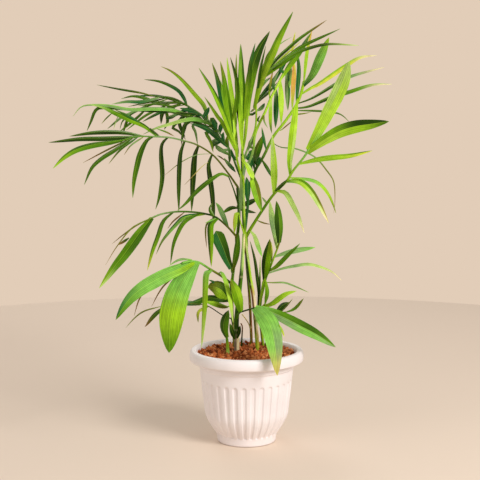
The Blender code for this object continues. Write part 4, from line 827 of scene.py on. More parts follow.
            (1, 0.46, 0.4, "leaf leaf dark dark|fresh leaf dark dark", [(4.1, 49.4, -0.6), (5.6, 50.5, -0.9),
                (7.2, 51.6, -1.1), (11.9, 53.7, -1.8)]),
            (0.9, 0.5, 0.4, "lime fresh leaf", [(3, 48.3, -1.6), (4.4, 49.2, -2.4), (6.4, 50.35, -3.4)]),
            ((1.35, 44.6, 2.6), 0.6, 0.5, "deep teal teal", [(2.4, 45.9, 3.4), (3.3, 47, 4), (4.4, 48.6, 4.6),
                (5.3, 49.9, 5)])]},
    "frond_right_hanging": {
        "cane": "main_cane", "girth": (1.5, 1.9), "stalkTones": "mist lime bright fresh",
        "stalk": [(-0.05, 35.9, 0.5), (0.5, 37.1, 0.1), (0.9, 38.6, -0.2), (1.05, 40.1, -0.2),
            (1.6, 41.6, 0.4), (2.4, 43.2, 1.1), (3.1, 44.9, 2.2), (4, 46.6, 3.5), (4.7, 48, 4.5),
            (5.6, 49.3, 5.6), (6.5, 50.6, 6.6)],
        "blades": [
            (0.16, 0.4, 0.5, "dark mist", [(0.4, 39, -1.7), (0.85, 40.1, -2.6)]),
            (0.36, 0.3, 0.5, "dark", [(1.45, 42.1, 1.3), (1.75, 42.7, 1.7)]),
            (0.42, 0.25, 0.5, "olive mist", [(2.3, 41.9, -0.6), (2.75, 41.1, -1)]),
            (0.57, 0.5, 0.4, "pale lime dark", [(3.12, 44, 2.8), (3.1, 42.8, 3.2), (3.1, 41.6, 3.4),
                (3.25, 40.4, 3.6)]),
            ((3, 44.6, 2.2), 0.3, 0.5, "lime olive orange", [(2.95, 45.4, 2.6), (3.1, 47, 3.2),
                (3.4, 48.5, 3.6)]),
            ((3.75, 46.2, 3.2), 0.72, 0.45, "mist teal teal|teal", [(3.85, 44.7, 3.9), (3.82, 43, 4.3),
                (3.72, 41.1, 4.5)]),
            (0.63, 0.45, 0.5, "teal mist", [(3.5, 47, 0.9), (4.1, 48.3, 0.1)]),
            ((4.3, 47.2, 4), 0.7, 0.4, "lime bright lime", [(4.45, 45.6, 3.5), (4.5, 43.8, 3.1),
                (4.45, 41.6, 2.8)]),
            ((5.1, 48.6, 5), 0.66, 0.5, "mist mist|teal dark", [(5.25, 46.9, 6.1), (5.3, 45.2, 6.8),
                (5.3, 43.3, 7.2)]),
            (0.8, 0.55, 0.4, "teal bluegreen", [(4.4, 48.9, 1.9), (5.4, 50, 1.1)]),
            ((5.55, 49.3, 5.6), 0.6, 0.5, "mist mint", [(5.6, 47.9, 6.1), (5.5, 46.2, 6.4)]),
            ((5.95, 49.9, 5.9), 0.6, 0.45, "orange orange lime|yellow orange lime", [(6.12, 48.4, 5.2),
                (6, 46.2, 4.8), (5.85, 43.4, 4.3)]),
            ((6.5, 50.6, 6.6), 0.6, 0.5, "deep teal teal|teal", [(6.72, 48.6, 7.6), (6.6, 46.4, 8.3),
                (6.38, 44.1, 8.7)]),
            (0.92, 0.3, 0.5, "straw yellow", [(5.9, 51.4, 4.6), (6.2, 53.3, 4)]),
            (1, 0.45, 0.4, "teal leaf", [(7.2, 51.7, 7.4), (8.2, 53.2, 8.2)]),
            ((4.3, 47.3, 4), 0.75, 0.5, "lime fresh leaf dark", [(5.1, 48.5, 4.6), (6, 49.8, 5.4),
                (7.1, 51.3, 6.5), (7.9, 52.6, 7.4)])]},
    "frond_right_tall": {
        "cane": "main_cane", "girth": (1.7, 2.1), "stalkTones": "bluegreen dark lime lime",
        "stalk": [(0.05, 28.9, 1.6), (0.15, 31, 1.7), (0.28, 33.2, 1.9), (1.1, 35.6, 2.4), (1.8, 36.8, 2.8),
            (2.4, 37.9, 3.2), (3, 39.2, 3.7), (3.7, 40.4, 4.5), (4.6, 41.5, 5.5), (5.7, 43, 6.8),
            (6.5, 44.3, 8.1), (7, 45.6, 9.4), (7.35, 47, 10.7)],
        "blades": [
            (0.3, 0.35, 0.5, "bluegreen", [(0.9, 36.6, 3.6), (0.7, 37.6, 4.2)]),
            (0.25, 0.5, 0.5, "teal", [(0.5, 36.9, 2.2), (0.3, 38.3, 2.2)]),
            (0.12, 0.8, 0.5, "teal", [(0.15, 33.6, 1.2), (-0.05, 34.8, 0.6)]),
            (0.33, 0.95, 0.55, "dark olive|dark leaf", [(1.2, 37.6, 4.4), (1.6, 38.9, 5.1),
                (2.15, 40.25, 5.8)]),
            (0.33, 0.5, 0.5, "teal bluegreen", [(1.5, 36.9, 2.6), (1.8, 37.4, 2.5)]),
            (0.38, 0.45, 0.5, "dark bluegreen", [(2.7, 35.95, 2.2), (3.35, 34.65, 1.9)]),
            (0.44, 0.35, 0.5, "teal", [(2.35, 39.2, 2.6), (1.95, 41.2, 2)]),
            (0.5, 0.22, 0.4, "dark mist olive brown", [(4.4, 38.65, 2.8), (6.4, 38.45, 2.2), (8.8, 37.4, 1.5),
                (10.4, 35.6, 1), (11.3, 34.1, 0.7), (11.45, 31.6, 0.5), (11.3, 30.1, 0.4)]),
            (0.6, 0.18, 0.5, "lime brown deep", [(4.3, 40.75, 4.8), (5.1, 41.4, 5.6), (6, 42.15, 6.6)]),
            (0.72, 0.2, 0.5, "olive", [(7.5, 43, 8.6), (8.3, 43.15, 9.2)]),
            (0.76, 0.3, 0.4, "dark", [(7.8, 43.35, 9), (9.9, 43.25, 11.5), (12, 42.9, 13.8),
                (13.3, 41.8, 15)]),
            (0.78, 0.55, 0.5, "dark leaf leaf pale|dark deep leaf cream", [(8, 43.9, 9.6), (10.7, 45, 12),
                (13, 45.7, 14), (16, 46.6, 16.2), (18.6, 46.7, 17.6)]),
            (0.82, 0.42, 0.5, "dark mist mist cream|deep dark mist cream", [(8.5, 45, 8.2), (11.5, 46.8, 7),
                (13.6, 47.8, 6.4), (17.6, 48.85, 6)]),
            (0.9, 0.6, 0.5, "lime lime lime cream|lime yellow yellow cream", [(8.2, 46.2, 11),
                (9.5, 46.9, 12.3), (12.6, 49, 15), (14.5, 50.1, 16.6), (16.6, 50.35, 18)]),
            (0.97, 1.15, 0.6, "mint mint mint lime|teal mint mint lime", [(8.4, 48, 8.4), (9.3, 50, 7.5),
                (10.5, 52.6, 6.5)]),
            (1, 0.48, 0.5, "lime lime orange", [(7.5, 48.5, 11.6), (7.8, 51, 13), (8.35, 53.5, 14.1)])]},
    "frond_right_bright": {
        "cane": "back_cane", "girth": (2.1, 1.4), "stalkTones": "lime leaf lime mint",
        "stalk": [(0.1, 27.3, 2.2), (0.6, 28.2, 1.3), (1.6, 29.8, 0.1), (3, 31.9, -1.4), (4, 33.1, -2.5),
            (5.2, 34.3, -3.5), (6, 35.6, -4.4), (6.8, 36.6, -5.2), (7.5, 37.5, -5.9), (8, 38.3, -6.4)],
        "blades": [
            (0.08, 0.6, 0.5, "pale mint", [(1.05, 27.2, 1.2), (1.5, 25.9, 0.3), (2, 24.4, -0.6)]),
            (0.2, 0.2, 0.5, "olive brown", [(2.2, 28.85, 1.9), (3.1, 28.65, 2.7)]),
            (0.36, 0.3, 0.5, "pale mist", [(2.7, 31.3, -0.6), (2, 32.2, -0.2)]),
            ((3.6, 33, -2.6), 0.45, 0.4, "dark deep dark", [(4.4, 33.65, -3.4), (5.3, 34.5, -4.2)]),
            (0.5, 0.92, 0.4, "bright pale|lime bright", [(3.62, 35.2, -0.6), (3.55, 37.2, -0.1),
                (3.4, 39, 0.3), (3.3, 40.3, 0.6)]),
            (0.54, 0.66, 0.35, "bright pale pale cream", [(5.1, 32.75, -3.4), (6, 31.25, -4),
                (6.85, 29.5, -4.5), (7.5, 27.5, -4.8)]),
            (0.66, 0.8, 0.4, "lime leaf olive straw|mint bright pale cream", [(6.3, 34.35, -4.6),
                (7.3, 34.05, -5.3), (8.4, 32.95, -6.4), (9.3, 31.5, -7.2), (10, 30.2, -7.8),
                (10.65, 28.8, -8.2)]),
            (0.7, 0.48, 0.4, "lime mint lime olive", [(8.3, 34.45, -2.3), (9.6, 33.8, -1.9),
                (10.6, 32.6, -1.6), (11.2, 31.3, -1.5), (11.6, 30.1, -1.4)]),
            (0.73, 1, 0.5, "fresh lime lime lime|pale pale bright lime", [(5.6, 36.7, -4.2),
                (5.85, 38.8, -4.7), (6.1, 41.2, -5), (6.35, 43.3, -5.1), (6.5, 44.9, -5.1)]),
            (0.85, 0.7, 0.45, "lime lime dark|lime lime yellow", [(9.2, 37.1, -4), (11, 37.35, -3.7),
                (13.4, 37.6, -3.4), (16.2, 38.2, -3.3)]),
            (0.98, 1.55, 0.55, "lime fresh deep deep|lime bright lime dark", [(10, 39.6, -7.7),
                (12, 40.7, -8.5), (14, 41.3, -9.3), (16, 41.6, -9.9), (18.3, 41.95, -10.4)]),
            (1, 1.8, 0.72, "lime bright pale pale|mint bright bright pale", [(9.4, 41, -5.9),
                (10.4, 43, -5.7), (11.5, 45.2, -5.6), (12.5, 47.5, -5.7), (13.1, 49.6, -5.9)])]},
    "frond_left_arching": {
        "cane": "left_cane", "girth": (1.3, 1.1), "stalkTones": "olive deep dark mist",
        "stalk": [(-1.62, 27.1, 2), (-2.6, 28.45, 0.4), (-4, 29.6, -1.4), (-5.5, 30.05, -2.9),
            (-7, 30.25, -4.5), (-9, 30.3, -6.3), (-11, 30, -8.1), (-12.3, 29.5, -9.4)],
        "blades": [
            (0.14, 0.72, 0.5, "teal mist mint", [(-3.05, 29.9, 1.4), (-3.5, 30.9, 2.1), (-4, 31.5, 2.5)]),
            (0.3, 0.8, 0.3, "dark dark olive|leaf fresh lime", [(-4.7, 28.6, -2.2), (-4.72, 26.5, -2.7),
                (-4.6, 23.1, -3.3)]),
            (0.33, 0.25, 0.4, "deep olive brown", [(-5.2, 28.7, -0.4), (-5.35, 27.3, 0), (-5.2, 25.6, 0.4)]),
            (0.31, 0.2, 0.5, "mint", [(-4.9, 29.05, -2.4), (-5.4, 28.8, -2.4)]),
            (0.34, 0.45, 0.4, "dark|mist", [(-4.75, 30.6, -3.7), (-4.5, 31.4, -4.5)]),
            (0.5, 0.55, 0.35, "dark leaf dark", [(-8, 29.1, -5.4), (-9, 27.5, -6.4), (-9.6, 25.8, -7.3),
                (-9.93, 23.4, -8.1)]),
            (0.44, 0.52, 0.3, "teal teal mist|lime mint olive", [(-8, 29.65, -2.8), (-9.2, 28.65, -2),
                (-10.3, 27.4, -1.5), (-11.1, 26.3, -1.1), (-11.8, 24.7, -0.9)]),
            (0.66, 0.2, 0.4, "brown", [(-9.5, 29.1, -4.4), (-10.25, 28.1, -3.7)]),
            (0.78, 0.58, 0.35, "dark dark leaf yellow|dark leaf fresh yellow", [(-10.85, 29.1, -7),
                (-11.6, 27, -7.2), (-12.3, 25.1, -7.4), (-12.95, 22.6, -7.6)]),
            ((-11.3, 29.95, -8.3), 0.2, 0.4, "dark olive brown", [(-14, 28.7, -6.9), (-15.9, 27.4, -5),
                (-17.5, 26.1, -3.7)]),
            (0.9, 0.18, 0.4, "dark olive brown", [(-14, 28.72, -11.8), (-15.3, 27.8, -13), (-17, 25.6, -14.6),
                (-18.4, 23.3, -15.9)]),
            (1, 1.25, 0.32, "fresh leaf leaf lime|dark dark leaf pale", [(-13.7, 27.8, -10.2),
                (-15, 26, -11.2), (-16.1, 24.5, -12), (-17.3, 23, -12.6), (-19.25, 20.25, -13.3)]),
            ((-15.3, 26.9, -11.6), 0.35, 0.4, "deep brown", [(-15.9, 26.5, -11.8), (-16.7, 25.95, -12)])]},
    "frond_lower_left": {
        "cane": "left_cane", "girth": (1.5, 1.4), "stalkTones": "deep olive mint mint",
        "stalk": [(-2.15, 20.9, 2.4), (-3.2, 21.8, 1), (-4.8, 22.8, -1.3), (-6.2, 23.65, -3.1),
            (-7.4, 23.8, -4.7), (-8.4, 23.6, -5.9)],
        "blades": [
            (0.3, 0.6, 0.35, "mint bright pale", [(-3.25, 22.4, -0.3), (-2.65, 21.1, -1.2),
                (-2.25, 19.4, -1.8), (-1.98, 17.6, -2.1), (-1.78, 15.7, -2.2)]),
            (0.45, 0.78, 0.2, "mint lime pale", [(-5.3, 22.1, -3.2), (-5.45, 20.2, -3.9), (-5.52, 18, -4.5),
                (-5.7, 15.4, -4.9), (-5.93, 12.3, -5.2)]),
            (0.8, 0.22, 0.5, "olive brown", [(-10.2, 21.2, -4), (-11.4, 19.8, -2.8), (-12.45, 17.8, -2.2)]),
            (0.92, 0.22, 0.6, "olive brown", [(-12, 21.2, -4.6), (-13.9, 19.1, -4), (-14.75, 16.6, -3.6)]),
            (0.78, 3.05, 0.6, "mint mint lime leaf|mint mint lime leaf", [(-8.1, 21.6, -6.6), (-9, 19.8, -8),
                (-9.6, 17.8, -9), (-9.95, 15.8, -9.7), (-10.1, 13.8, -10), (-10.2, 11.65, -10.2)]),
            ((-7.2, 24.05, -4.6), 0.3, 0.5, "mint mist mint", [(-8.4, 24.1, -6), (-9.3, 23.8, -6.6),
                (-10.1, 23.2, -7)]),
            (0.8, 1.8, 0.5, "mint mint bluegreen|lime mint leaf", [(-8.7, 22.85, -6.4), (-10.3, 22.15, -7.6),
                (-12, 21.25, -8.8), (-13.6, 20.3, -9.9), (-15, 19.15, -10.8), (-16.1, 17.8, -11.4),
                (-17.15, 16.05, -11.9)])]},
    "frond_low_left": {
        "cane": "left_cane", "girth": (0.7, 0.6), "stalkTones": "deep olive",
        "stalk": [(-2.2, 16.2, 3), (-3.2, 16.7, 2.2), (-5.1, 17.9, 1), (-7, 18.2, 0.2), (-9.2, 18.15, -0.4),
            (-11.2, 17.85, -1)],
        "blades": [
            (0.4, 0.5, 0.3, "yellow olive", [(-6.35, 17.1, 0), (-6.35, 15.7, -0.4)]),
            (0.5, 0.7, 0.5, "mist teal", [(-7.3, 18.3, 1.6), (-9.2, 18.4, 3)]),
            (0.93, 0.55, 0.5, "dark dark brown", [(-12.1, 16.7, 0.2), (-13.35, 15.1, 0.8)]),
            (1, 0.2, 0.4, "olive", [(-13.4, 17.25, -1.4), (-14.7, 16.3, -1.8), (-15.85, 15, -2)])]},
    "leaf_pair_mid_left": {
        "cane": "left_cane", "girth": (1.2, 1), "stalkTones": "leaf",
        "stalk": [(-1.95, 21.9, 1.5), (-1.95, 22.5, 1.1), (-2, 22.9, 0.8)],
        "blades": [
            (0.5, 0.8, 0.5, "olive leaf dark", [(-1.35, 25, 0.4), (-1.05, 27.6, 0)]),
            (1, 1.65, 0.82, "bluegreen bluegreen|deep dark", [(-2.5, 24, 0.2), (-3, 25.4, -0.5),
                (-3.5, 26.6, -1), (-4, 27.8, -1.4)])]},
    "leaf_broad_base": {
        "cane": "grey_cane", "girth": (1.2, 1), "stalkTones": "leaf",
        "stalk": [(-0.68, 16.5, -0.2), (-0.72, 17.2, -0.5)],
        "blades": [
            (1, 1.4, 0.45, "leaf fresh olive|fresh lime leaf", [(-0.9, 18, -1), (-1.15, 19.1, -1.5),
                (-1.55, 20.3, -2.1), (-2.1, 21.5, -2.6)]),
            ((-1.5, 13.5, 0.9), 0.6, 0.5, "deep dark", [(-1.8, 14.3, 0.6), (-2.2, 15.6, 0.4)]),
            ((-1.3, 13.6, 0.9), 0.5, 0.5, "deep", [(-1.05, 14.4, 0.7), (-0.85, 15.3, 0.7)])]},
    "leaf_olive_left": {
        "cane": "left_cane", "girth": (1, 0.8), "stalkTones": "leaf",
        "stalk": [(-2.3, 18.2, 2.6), (-2.5, 18.9, 2.2)],
        "blades": [
            (0.6, 0.95, 0.45, "deep dark dark teal", [(-3.3, 18.8, 1.6), (-5, 18.95, 1.1), (-6.5, 18.5, 0.8),
                (-8, 18.1, 0.6)]),
            (1, 2.1, 0.5, "dark olive|lime olive", [(-3.2, 19.9, 1.7), (-4.1, 20.4, 1.5), (-5.1, 20.4, 1.2)]),
            (1, 0.5, 0.5, "teal", [(-4.1, 20.95, 1.9), (-5, 21.35, 1.7)])]},
    "leaf_low_folded": {
        "cane": "left_cane", "girth": (1, 0.8), "stalkTones": "lime",
        "stalk": [(-2.15, 17.6, 1.8), (-2.5, 17.8, 1.4)],
        "blades": [
            (1, 0.75, 0.5, "lime bright|olive fresh", [(-3.2, 17.95, 0.4), (-4.3, 18.25, -0.3),
                (-5.4, 18.5, -0.8)])]},
    "frond_small_right": {
        "cane": "right_cane", "girth": (1.5, 1.2), "stalkTones": "lime dark lime olive",
        "stalk": [(2.4, 21.2, 3.4), (2.7, 22.1, 3.3), (3.25, 23.5, 3.1), (3.75, 24.8, 2.9),
            (4.25, 26.2, 2.6)],
        "blades": [
            (0.03, 1.15, 0.5, "deep dark|leaf fresh olive", [(2.4, 23, 2.6), (2.6, 24.5, 2),
                (2.85, 25.7, 1.7), (3.03, 26.75, 1.6)]),
            (0, 0.26, 0.45, "olive mist leaf", [(3.5, 21, 4), (5, 21, 4.8), (6.6, 20.4, 5.5),
                (8.1, 19.7, 6)]),
            (0.24, 0.4, 0.45, "mist mist pale cream", [(4.6, 22.85, 4), (6.2, 23.2, 4.7), (8, 23.45, 5.3),
                (9.6, 23.1, 5.8), (11.2, 22.4, 6.2), (12.4, 21.3, 6.5)]),
            (0.3, 0.62, 0.5, "lime leaf leaf", [(3.9, 23.2, 1.8), (5.1, 24.4, 1), (6.95, 26.15, 0.3)]),
            (0.45, 0.22, 0.5, "olive yellow", [(3.35, 25, 4.4), (3.2, 26.4, 5.2)]),
            (0.66, 0.75, 0.5, "mist mist mint", [(5.2, 24.95, 3.9), (6.8, 25.35, 4.6), (8.95, 25.65, 5.5)]),
            (0.86, 0.92, 0.5, "pale mist pale", [(3.75, 27.6, 4.2), (3.35, 29.6, 5), (3, 31.7, 5.7)]),
            (1, 1.15, 0.5, "deep dark|dark leaf dark", [(4.3, 27.9, 2), (4.2, 29.4, 1.6), (4.08, 30.6, 1.3),
                (3.85, 31.7, 1.1)])]},
    "leaf_dark_upright": {
        "cane": "right_cane", "girth": (1.1, 1), "stalkTones": "dark",
        "stalk": [(1.42, 17.2, 4.6), (1.5, 18.2, 4.4)],
        "blades": [
            (1, 0.45, 0.45, "deep", [(1.6, 19.6, 4.2), (1.45, 21.4, 3.8), (1.1, 24, 3.4), (0.45, 26.5, 2.8)]),
            (0.6, 0.28, 0.5, "mint pale", [(1.75, 21.4, 4.6), (1.78, 24.4, 4.2)]),
            (0.5, 0.3, 0.5, "deep", [(1.75, 20.6, 4), (1.72, 22.4, 3.8)])]},
    "leaves_right_sheath": {
        "cane": "right_cane", "girth": (1.1, 1), "stalkTones": "lime",
        "stalk": [(2.35, 17.4, 3), (2.45, 18.2, 2.7)],
        "blades": [
            (0.4, 0.7, 0.45, "lime lime bright", [(3.3, 18.25, 2.2), (4.2, 18.9, 1.8), (5.2, 19.55, 1.5),
                (6.55, 19.9, 1.2)]),
            (1, 0.55, 0.4, "leaf fresh", [(2.72, 19.6, 2.3), (2.5, 21.4, 1.8)]),
            ((1.65, 17.9, 3.6), 0.4, 0.5, "lime fresh", [(2, 19.7, 3), (2.5, 21.5, 2.6)])]},
    "leaf_pair_low_right": {
        "cane": "grey_cane", "girth": (0.8, 1.1), "stalkTones": "deep dark",
        "stalk": [(-0.7, 17, 0.6), (0.2, 17.4, -0.4), (1.15, 17.65, -1.5)],
        "blades": [
            (1, 2.35, 0.4, "mint mint mint straw|mint mint mist straw", [(2.3, 16.6, -4), (3.1, 15.2, -5.8),
                (3.55, 13.5, -7), (3.8, 11.8, -7.9), (3.95, 10.1, -8.6), (4.05, 8.6, -8.9)]),
            (1, 1.55, 0.55, "mint leaf dark leaf|mint mist mint mist", [(3, 17.2, -1.6), (5, 16.3, -2.1),
                (7, 15.25, -2.6), (9, 14.2, -3.2), (10.4, 13.3, -3.6), (11.7, 12.4, -3.8)]),
            ((4.3, 15.4, -5.6), 0.25, 0.5, "lime yellow", [(4.7, 14.6, -5.7), (4.95, 13.8, -5.8)])]},
    "leaves_right_cluster": {
        "cane": "right_cane", "girth": (0.9, 0.7), "stalkTones": "olive",
        "stalk": [(2.3, 16.4, 3.3), (3, 16.6, 2.9), (4.1, 17, 2.3), (5.2, 17.1, 1.8)],
        "blades": [
            (0.6, 0.85, 0.55, "deep", [(4.7, 17.95, 2.8), (5.55, 18.4, 3.4)]),
            (0.8, 0.2, 0.5, "olive", [(5.4, 18.1, 1.4), (6, 18.85, 1.2)]),
            (1, 0.42, 0.5, "leaf olive", [(6.3, 17.6, 1.4), (7.45, 18.9, 1)])]},
    "leaf_front_folded": {
        "cane": "main_cane", "girth": (1, 1), "stalkTones": "bright",
        "stalk": [(-0.6, 37.4, 0.2), (-0.5, 37.3, -0.4), (-0.25, 36.8, -1)],
        "blades": [
            (1, 0.78, 0.65, "bright bright|pale bright", [(0.1, 36.4, -1.5), (0.5, 35.6, -2),
                (0.9, 34.5, -2.5)]),
            ((0.7, 35.1, -1.9), 1.1, 0.4, "lime fresh fresh|dark olive leaf", [(1.05, 33.9, -2.3),
                (1.4, 32.5, -2.7), (1.95, 30.3, -3)])]},
    "leaf_behind_canes": {
        "cane": "left_cane", "girth": (1, 0.9), "stalkTones": "leaf",
        "stalk": [(-1.35, 30.6, 2.9), (-1.2, 31, 3.2)],
        "blades": [
            (0.5, 0.55, 0.5, "dark leaf", [(-2, 30.85, 3), (-3.1, 30.15, 2.8)]),
            (1, 0.75, 0.55, "deep", [(0, 31.4, 4), (0.8, 31.75, 4.4), (1.5, 32, 4.6)]),
            (0.3, 0.45, 0.5, "deep", [(0, 30.45, 4), (1.25, 30.15, 4.5)])]},
    "leaf_yellow": {
        "cane": "grey_cane", "girth": (0.9, 0.8), "stalkTones": "lime",
        "stalk": [(-0.72, 28.2, -0.1), (-0.85, 29.2, -0.5), (-1, 30.1, -1)],
        "blades": [
            (1, 0.6, 0.5, "lime yellow yellow|lime bright lime", [(-1.4, 30, -1.9), (-1.55, 28.9, -2.4),
                (-1.6, 27.5, -2.6)])]},
    "spoon_shoot": {
        "cane": None, "girth": (1.9, 1.6), "stalkTones": "pale lime leaf",
        "stalk": [(-2.45, 11.2, -0.4), (-2.5, 12.5, -0.4), (-2.6, 13.7, -0.5)],
        "blades": [
            (1, 1.2, 0.5, "dark deep|leaf dark", [(-3, 14.8, -0.7), (-2.9, 16, -0.9), (-2.35, 17.35, -1)])]},
    "dried_stalk": {
        "cane": None, "girth": (1, 0.8), "stalkTones": "deep brown",
        "stalk": [(-0.7, 12.4, 4.4), (-0.6, 14, 4.3), (-0.55, 15.2, 4.2), (-0.75, 15.6, 4.1)],
        "blades": []},
    "thin_shoot": {
        "cane": None, "girth": (0.8, 0.6), "stalkTones": "olive straw",
        "stalk": [(0.35, 12.5, 4.6), (0.6, 13.6, 4.2), (0.4, 15.2, 3.4), (0, 16, 2.8), (-0.6, 16.8, 2.2)],
        "blades": []},
}
bladeShape = {
    "narrowTurn": 50, "broadTurn": 24, "broadWidth": 1.6,   # degrees turned from facing the front; cm
    "foot": 0.35, "broadFoot": 0.1,     # shares of its width that a blade starts with, and a broad one adds
    "swell": 1.2, "taper": 0.7,         # how its edges run from the foot and to the tip
    "fold": 0.2, "broadFold": 0.4,      # share of the half width that the halves fall; a broad lobe's part
    "thickness": 0.36, "thinUnder": 1.5, "leastHalf": 0.2,  # mm; narrower than thinUnder, a blade is thinner
    "ridge": 0.12, "ridgeReach": 0.22,                      # mm, share of the half width
    "pleats": 6, "pleatHeight": 0.035, "broadFrom": 1.3,    # a broad lobe's parallel folds; cm
    "twist": 7, "spacing": 4, "station": 5, "fewest": 9,    # degrees, mm, mm, stations on a short blade
    "round": 20, "broadRound": 56, "flatness": 0.02, "sharp": 70,   # sides of the section, share, degrees
}
stalkShape = {
    "sides": 12, "spacing": 5, "station": 4, "fewest": 6,   # count, mm, mm, stations on a short stalk
    "mixTop": 114.6, "inMix": 8, "inCane": 12,              # mm
    "standOff": 0.6, "swelling": 0.35,                      # shares of the stalk's radius
    "swellingReach": 12, "searchSteps": 200,                # mm, count
}


def bladeWidth(u, widest, foot):
    if u < widest:
        return foot + (1 - foot) * math.sin(math.pi / 2 * u / widest) ** bladeShape["swell"]
    return max(0.0, math.cos(math.pi / 2 * (u - widest) / (1 - widest))) ** bladeShape["taper"]


def bladeFrame(centre, direction, lean, sign):
    # across the blade and out of its front, turned by `lean` from square to the sight line
    across = direction.cross((centre - eye).normalized()).normalized()
    turn = Matrix.Rotation(sign * lean, 3, direction)
    return turn @ across, turn @ direction.cross(across)


def toneStops(words):
    words = words.split()
    at = {1: (0,), 2: (0.25, 0.95), 3: (0.0, 0.5, 1.0), 4: (0.0, 0.33, 0.66, 1.0)}[len(words)]
    return list(zip(at, words))


bladeValues = {"across": "FLOAT_VECTOR", "front": "FLOAT_VECTOR", "minusTone": "FLOAT_COLOR",
               "plusTone": "FLOAT_COLOR", "halfWidth": "FLOAT", "isBlade": "FLOAT", "pleated": "FLOAT",
               "reach": "FLOAT", "seed": "FLOAT"}


def bladeLine(root, width, widest, tones, points, seed):
    path = smoothPath([root, *[place(*point) for point in points]], bladeShape["spacing"])
    length = pathLength(path)
    share = min(1.0, width / bladeShape["broadWidth"])
    narrow, broad = bladeShape["narrowTurn"], bladeShape["broadTurn"]
    lean = math.radians(narrow + (broad - narrow) * share)
    foot = bladeShape["foot"] + bladeShape["broadFoot"] * share
    middle, along = alongPath(path, 0.5)
    flat = along.cross((middle - eye).normalized()).normalized()
    # a level blade faces up, and an upright one outwards from the middle of the plant
    sign = math.copysign(1.0, -(flat.z + flat.x * middle.x * 4))
    # the first half named is the upper one of a level blade and the left one of an upright blade; the halves'
    # tones are painted light and painted shade
    reach = path[-1] - path[0]
    firstAcross = flat.z > 0 if abs(reach.x) > abs(reach.z) else flat.x < 0
    halves = [toneStops(half) for half in tones.split("|")]
    first, second = halves[0], halves[-1]
    if not firstAcross:
        first, second = second, first
    chance = random.Random(seed)
    swing = math.radians(chance.uniform(-1, 1) * bladeShape["twist"])
    phase = chance.uniform(0, 6)
    count = max(bladeShape["fewest"], round(length / (bladeShape["station"] * mm)))
    line = []
    for i in range(count + 1):
        u = i / count
        spot, direction = alongPath(path, u)
        across, front = bladeFrame(spot, direction, lean + swing * math.sin(3 * u + phase), sign)
        half = 0.5 * width * cm * bladeWidth(u, widest, foot) / math.cos(lean)
        line.append({"place": spot, "across": across, "front": front,
                     "halfWidth": max(half, bladeShape["leastHalf"] * mm), "isBlade": 1.0,
                     "pleated": float(width > bladeShape["broadFrom"]), "reach": u * length / mm,
                     "seed": float(seed % 97), "plusTone": toneBetween(first, u),
                     "minusTone": toneBetween(second, u)})
    return line


def stalkPath(frond):
    # the stalk as it is set out, from its cane's skin or from the potting mix, and its start inside that
    points = [place(*point) for point in frond["stalk"]]
    radius = frond["girth"][0] * mm
    if frond["cane"] is None:
        points[0].z = stalkShape["mixTop"] * mm
        inside = points[0] - Vector((0, 0, stalkShape["inMix"])) * mm
        return smoothPath(points, stalkShape["spacing"]), inside
    path = canePaths[frond["cane"]]
    steps = stalkShape["searchSteps"]
    nearest = min((i / steps for i in range(steps + 1)),
                  key=lambda u: (alongPath(path, u)[0] - points[0]).length)
    spot, axis = alongPath(path, nearest)
    if nearest == 1:
        points[0] = spot + axis * radius
    else:
        out = points[1] - spot
        out -= axis * out.dot(axis)
        skin = caneRadius(canes[frond["cane"]], nearest)
        points[0] = spot + out.normalized() * (skin + radius * stalkShape["standOff"])
    return smoothPath(points, stalkShape["spacing"]), spot - axis * stalkShape["inCane"] * mm


def stalkLine(frond, path, inside):
    thick, thin = frond["girth"]
    length = pathLength(path)
    stops = toneStops(frond["stalkTones"])
    count = max(stalkShape["fewest"], round(length / (stalkShape["station"] * mm)))
    ends = [inside, *[alongPath(path, i / count)[0] for i in range(count + 1)]]
    line = []
    for i, spot in enumerate(ends):
        u = max(0, i - 1) / count
        swelling = stalkShape["swelling"] * math.exp(-u * length / (stalkShape["swellingReach"] * mm))
        tone = toneBetween(stops, u)
        line.append({"place": spot, "across": (1, 0, 0), "front": (0, -1, 0),
                     "halfWidth": (thick + (thin - thick) * u) * mm * (1 + swelling), "isBlade": 0.0,
                     "pleated": 0.0, "reach": u * length / mm, "seed": 0.0, "plusTone": tone,
                     "minusTone": tone})
    return line


